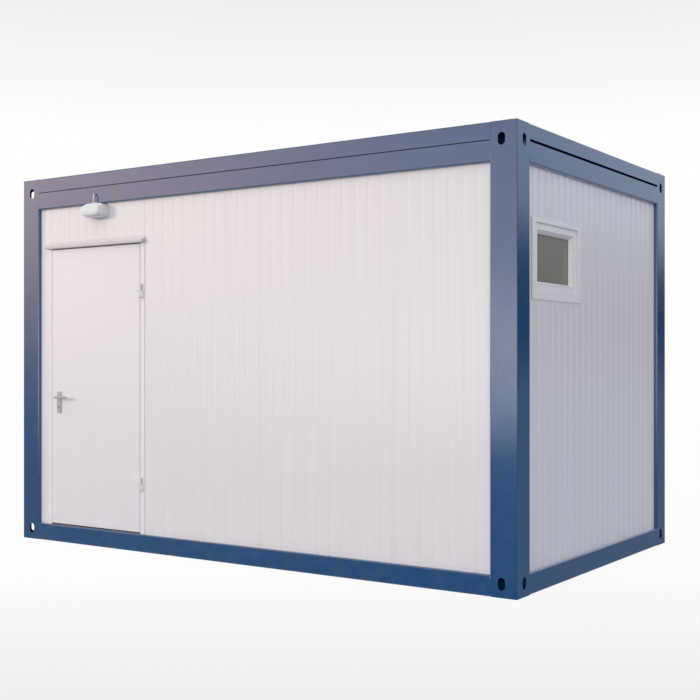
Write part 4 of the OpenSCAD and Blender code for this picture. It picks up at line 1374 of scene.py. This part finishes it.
# %% [markdown]
# The cabin stands in a white studio. What the glossy enamel mirrors makes most of
# its look: a warm bright sweep in front on the left, a dim cool one on the right,
# and darkness under both, so each post turns from pale at its head to deep blue
# at its foot. Higher than about 15 degrees, and steeply down, it is a plain pale
# grey. The light that falls on the panels is plainer and nearly white. The floor
# takes no part in reflections or bounced light.

# %% World
world = bpy.data.worlds.new("studio")
scene.world = world
world.use_nodes = True
sky = world.node_tree
towards = add_node(sky, "ShaderNodeSeparateXYZ",
                   {0: add_node(sky, "ShaderNodeTexCoord").outputs["Generated"]}).outputs
rise = towards["Z"]
on_front = between(sky, towards["Y"], 0.3, -0.3)
far_left = between(sky, towards["X"], -0.4, -0.8)


def light(level, red, green, blue):
    """A light's colour: level is its brightness, the rest its tint."""
    return (level * red, level * green, level * blue, 1.0)


# What shiny surfaces mirror
DARK = light(0.01, 1.0, 1.0, 1.0)
near_upper = tint(sky, between(sky, rise, 0.02, 0.11), light(3.1, 1.0, 0.95, 0.9),
                  light(1.7, 1.0, 0.8, 0.7))
near_sweep = tint(sky, between(sky, rise, -0.09, -0.025), DARK, near_upper)
left_sweep = tint(sky, between(sky, rise, -0.045, 0.15), light(0.2, 1.0, 1.05, 0.4),
                  light(2.9, 1.0, 0.66, 0.46))
front_sweep = tint(sky, far_left, near_sweep, left_sweep)
side_floor = tint(sky, between(sky, rise, 0.03, -0.04), DARK, light(0.2, 0.8, 1.05, 1.35))
side_rise = calc(sky, "MULTIPLY_ADD", calc(sky, "SUBTRACT", towards["X"], 0.38), -0.3, rise)
side_sweep = tint(sky, between(sky, side_rise, 0.067, 0.132), side_floor,
                  light(0.66, 0.9, 1.04, 1.22))
level_view = tint(sky, on_front, side_sweep, front_sweep)
over_floor = tint(sky, between(sky, rise, -0.2, -0.45), level_view, light(0.6, 1.0, 1.0, 1.04))
mirrored = tint(sky, between(sky, rise, 0.17, 0.27), over_floor, light(0.75, 0.98, 1.0, 1.04))

# What falls on every surface
ceiling_light = tint(sky, between(sky, towards["Y"], 0.45, -0.75), light(0.74, 0.96, 1.0, 1.17),
                     light(1.22, 1.01, 0.965, 0.985))
falling = tint(sky, between(sky, rise, -0.1, 0.12), light(0.37, 1.0, 1.0, 1.1), ceiling_light)

# What the camera sees behind the cabin
shade = between(sky, calc(sky, "ABSOLUTE", rise), 0.185, 0.295, 1.0, 0.858, soft=False)
backdrop = add_node(sky, "ShaderNodeCombineColor", {0: shade, 1: shade, 2: shade}).outputs[0]

path = add_node(sky, "ShaderNodeLightPath").outputs
lit = tint(sky, path["Is Glossy Ray"], falling, mirrored)
background = sky.nodes["Background"]
feed(sky, background.inputs["Color"], tint(sky, path["Is Camera Ray"], lit, backdrop))
background.inputs["Strength"].default_value = 1.0
print("world:", len(sky.nodes), "nodes")

# %% Studio floor and key light
REACH = 60.0
floor_material, floor_tree, floor_shader = new_finish("studio_floor", (0.9, 0.9, 0.9, 1.0), 0.9)
floor_tree.nodes.remove(floor_shader)
matte = add_node(floor_tree, "ShaderNodeBsdfDiffuse", {"Color": (0.9, 0.9, 0.9, 1.0)})
# The floor glows, brightest by the cabin and dimmer towards the camera: a painted fall-off of light.
ahead = add_node(floor_tree, "ShaderNodeVectorMath", {0: place(floor_tree), 1: (0.56, -0.828, 0.0)},
                 operation="DOT_PRODUCT").outputs["Value"]
glow = add_node(floor_tree, "ShaderNodeEmission", {
    "Color": (1.0, 1.0, 1.0, 1.0),
    "Strength": between(floor_tree, ahead, 1.4, 4.2, 1.0, 0.84, soft=False)})
blend = add_node(floor_tree, "ShaderNodeMixShader", {0: 0.08, 1: glow.outputs[0], 2: matte.outputs[0]})
feed(floor_tree, floor_tree.nodes["Material Output"].inputs["Surface"], blend.outputs[0])
floor_mesh = bpy.data.meshes.new("studio_floor")
floor_mesh.from_pydata([(-REACH, -REACH, 0), (REACH, -REACH, 0), (REACH, REACH, 0),
                        (-REACH, REACH, 0)], [], [(0, 1, 2, 3)])
floor_mesh.materials.append(floor_material)
floor = shown("studio_floor", floor_mesh)
floor.location.z = cad_lo.z - 0.001
floor.visible_glossy = False
floor.visible_diffuse = False

key = bpy.data.lights.new("key", "AREA")
key.shape = "DISK"
key.size = 4.0
key.energy = 950
key.color = (1.0, 0.98, 0.97)
key_lamp = bpy.data.objects.new("key", key)
key_lamp.location = (-14.0, -15.0, 5.6)
key_lamp.rotation_euler = (Vector((0, -1, 1.3)) - key_lamp.location).to_track_quat("-Z", "Y").to_euler()
key_lamp.visible_glossy = False
scene.collection.objects.link(key_lamp)
print("studio ready")
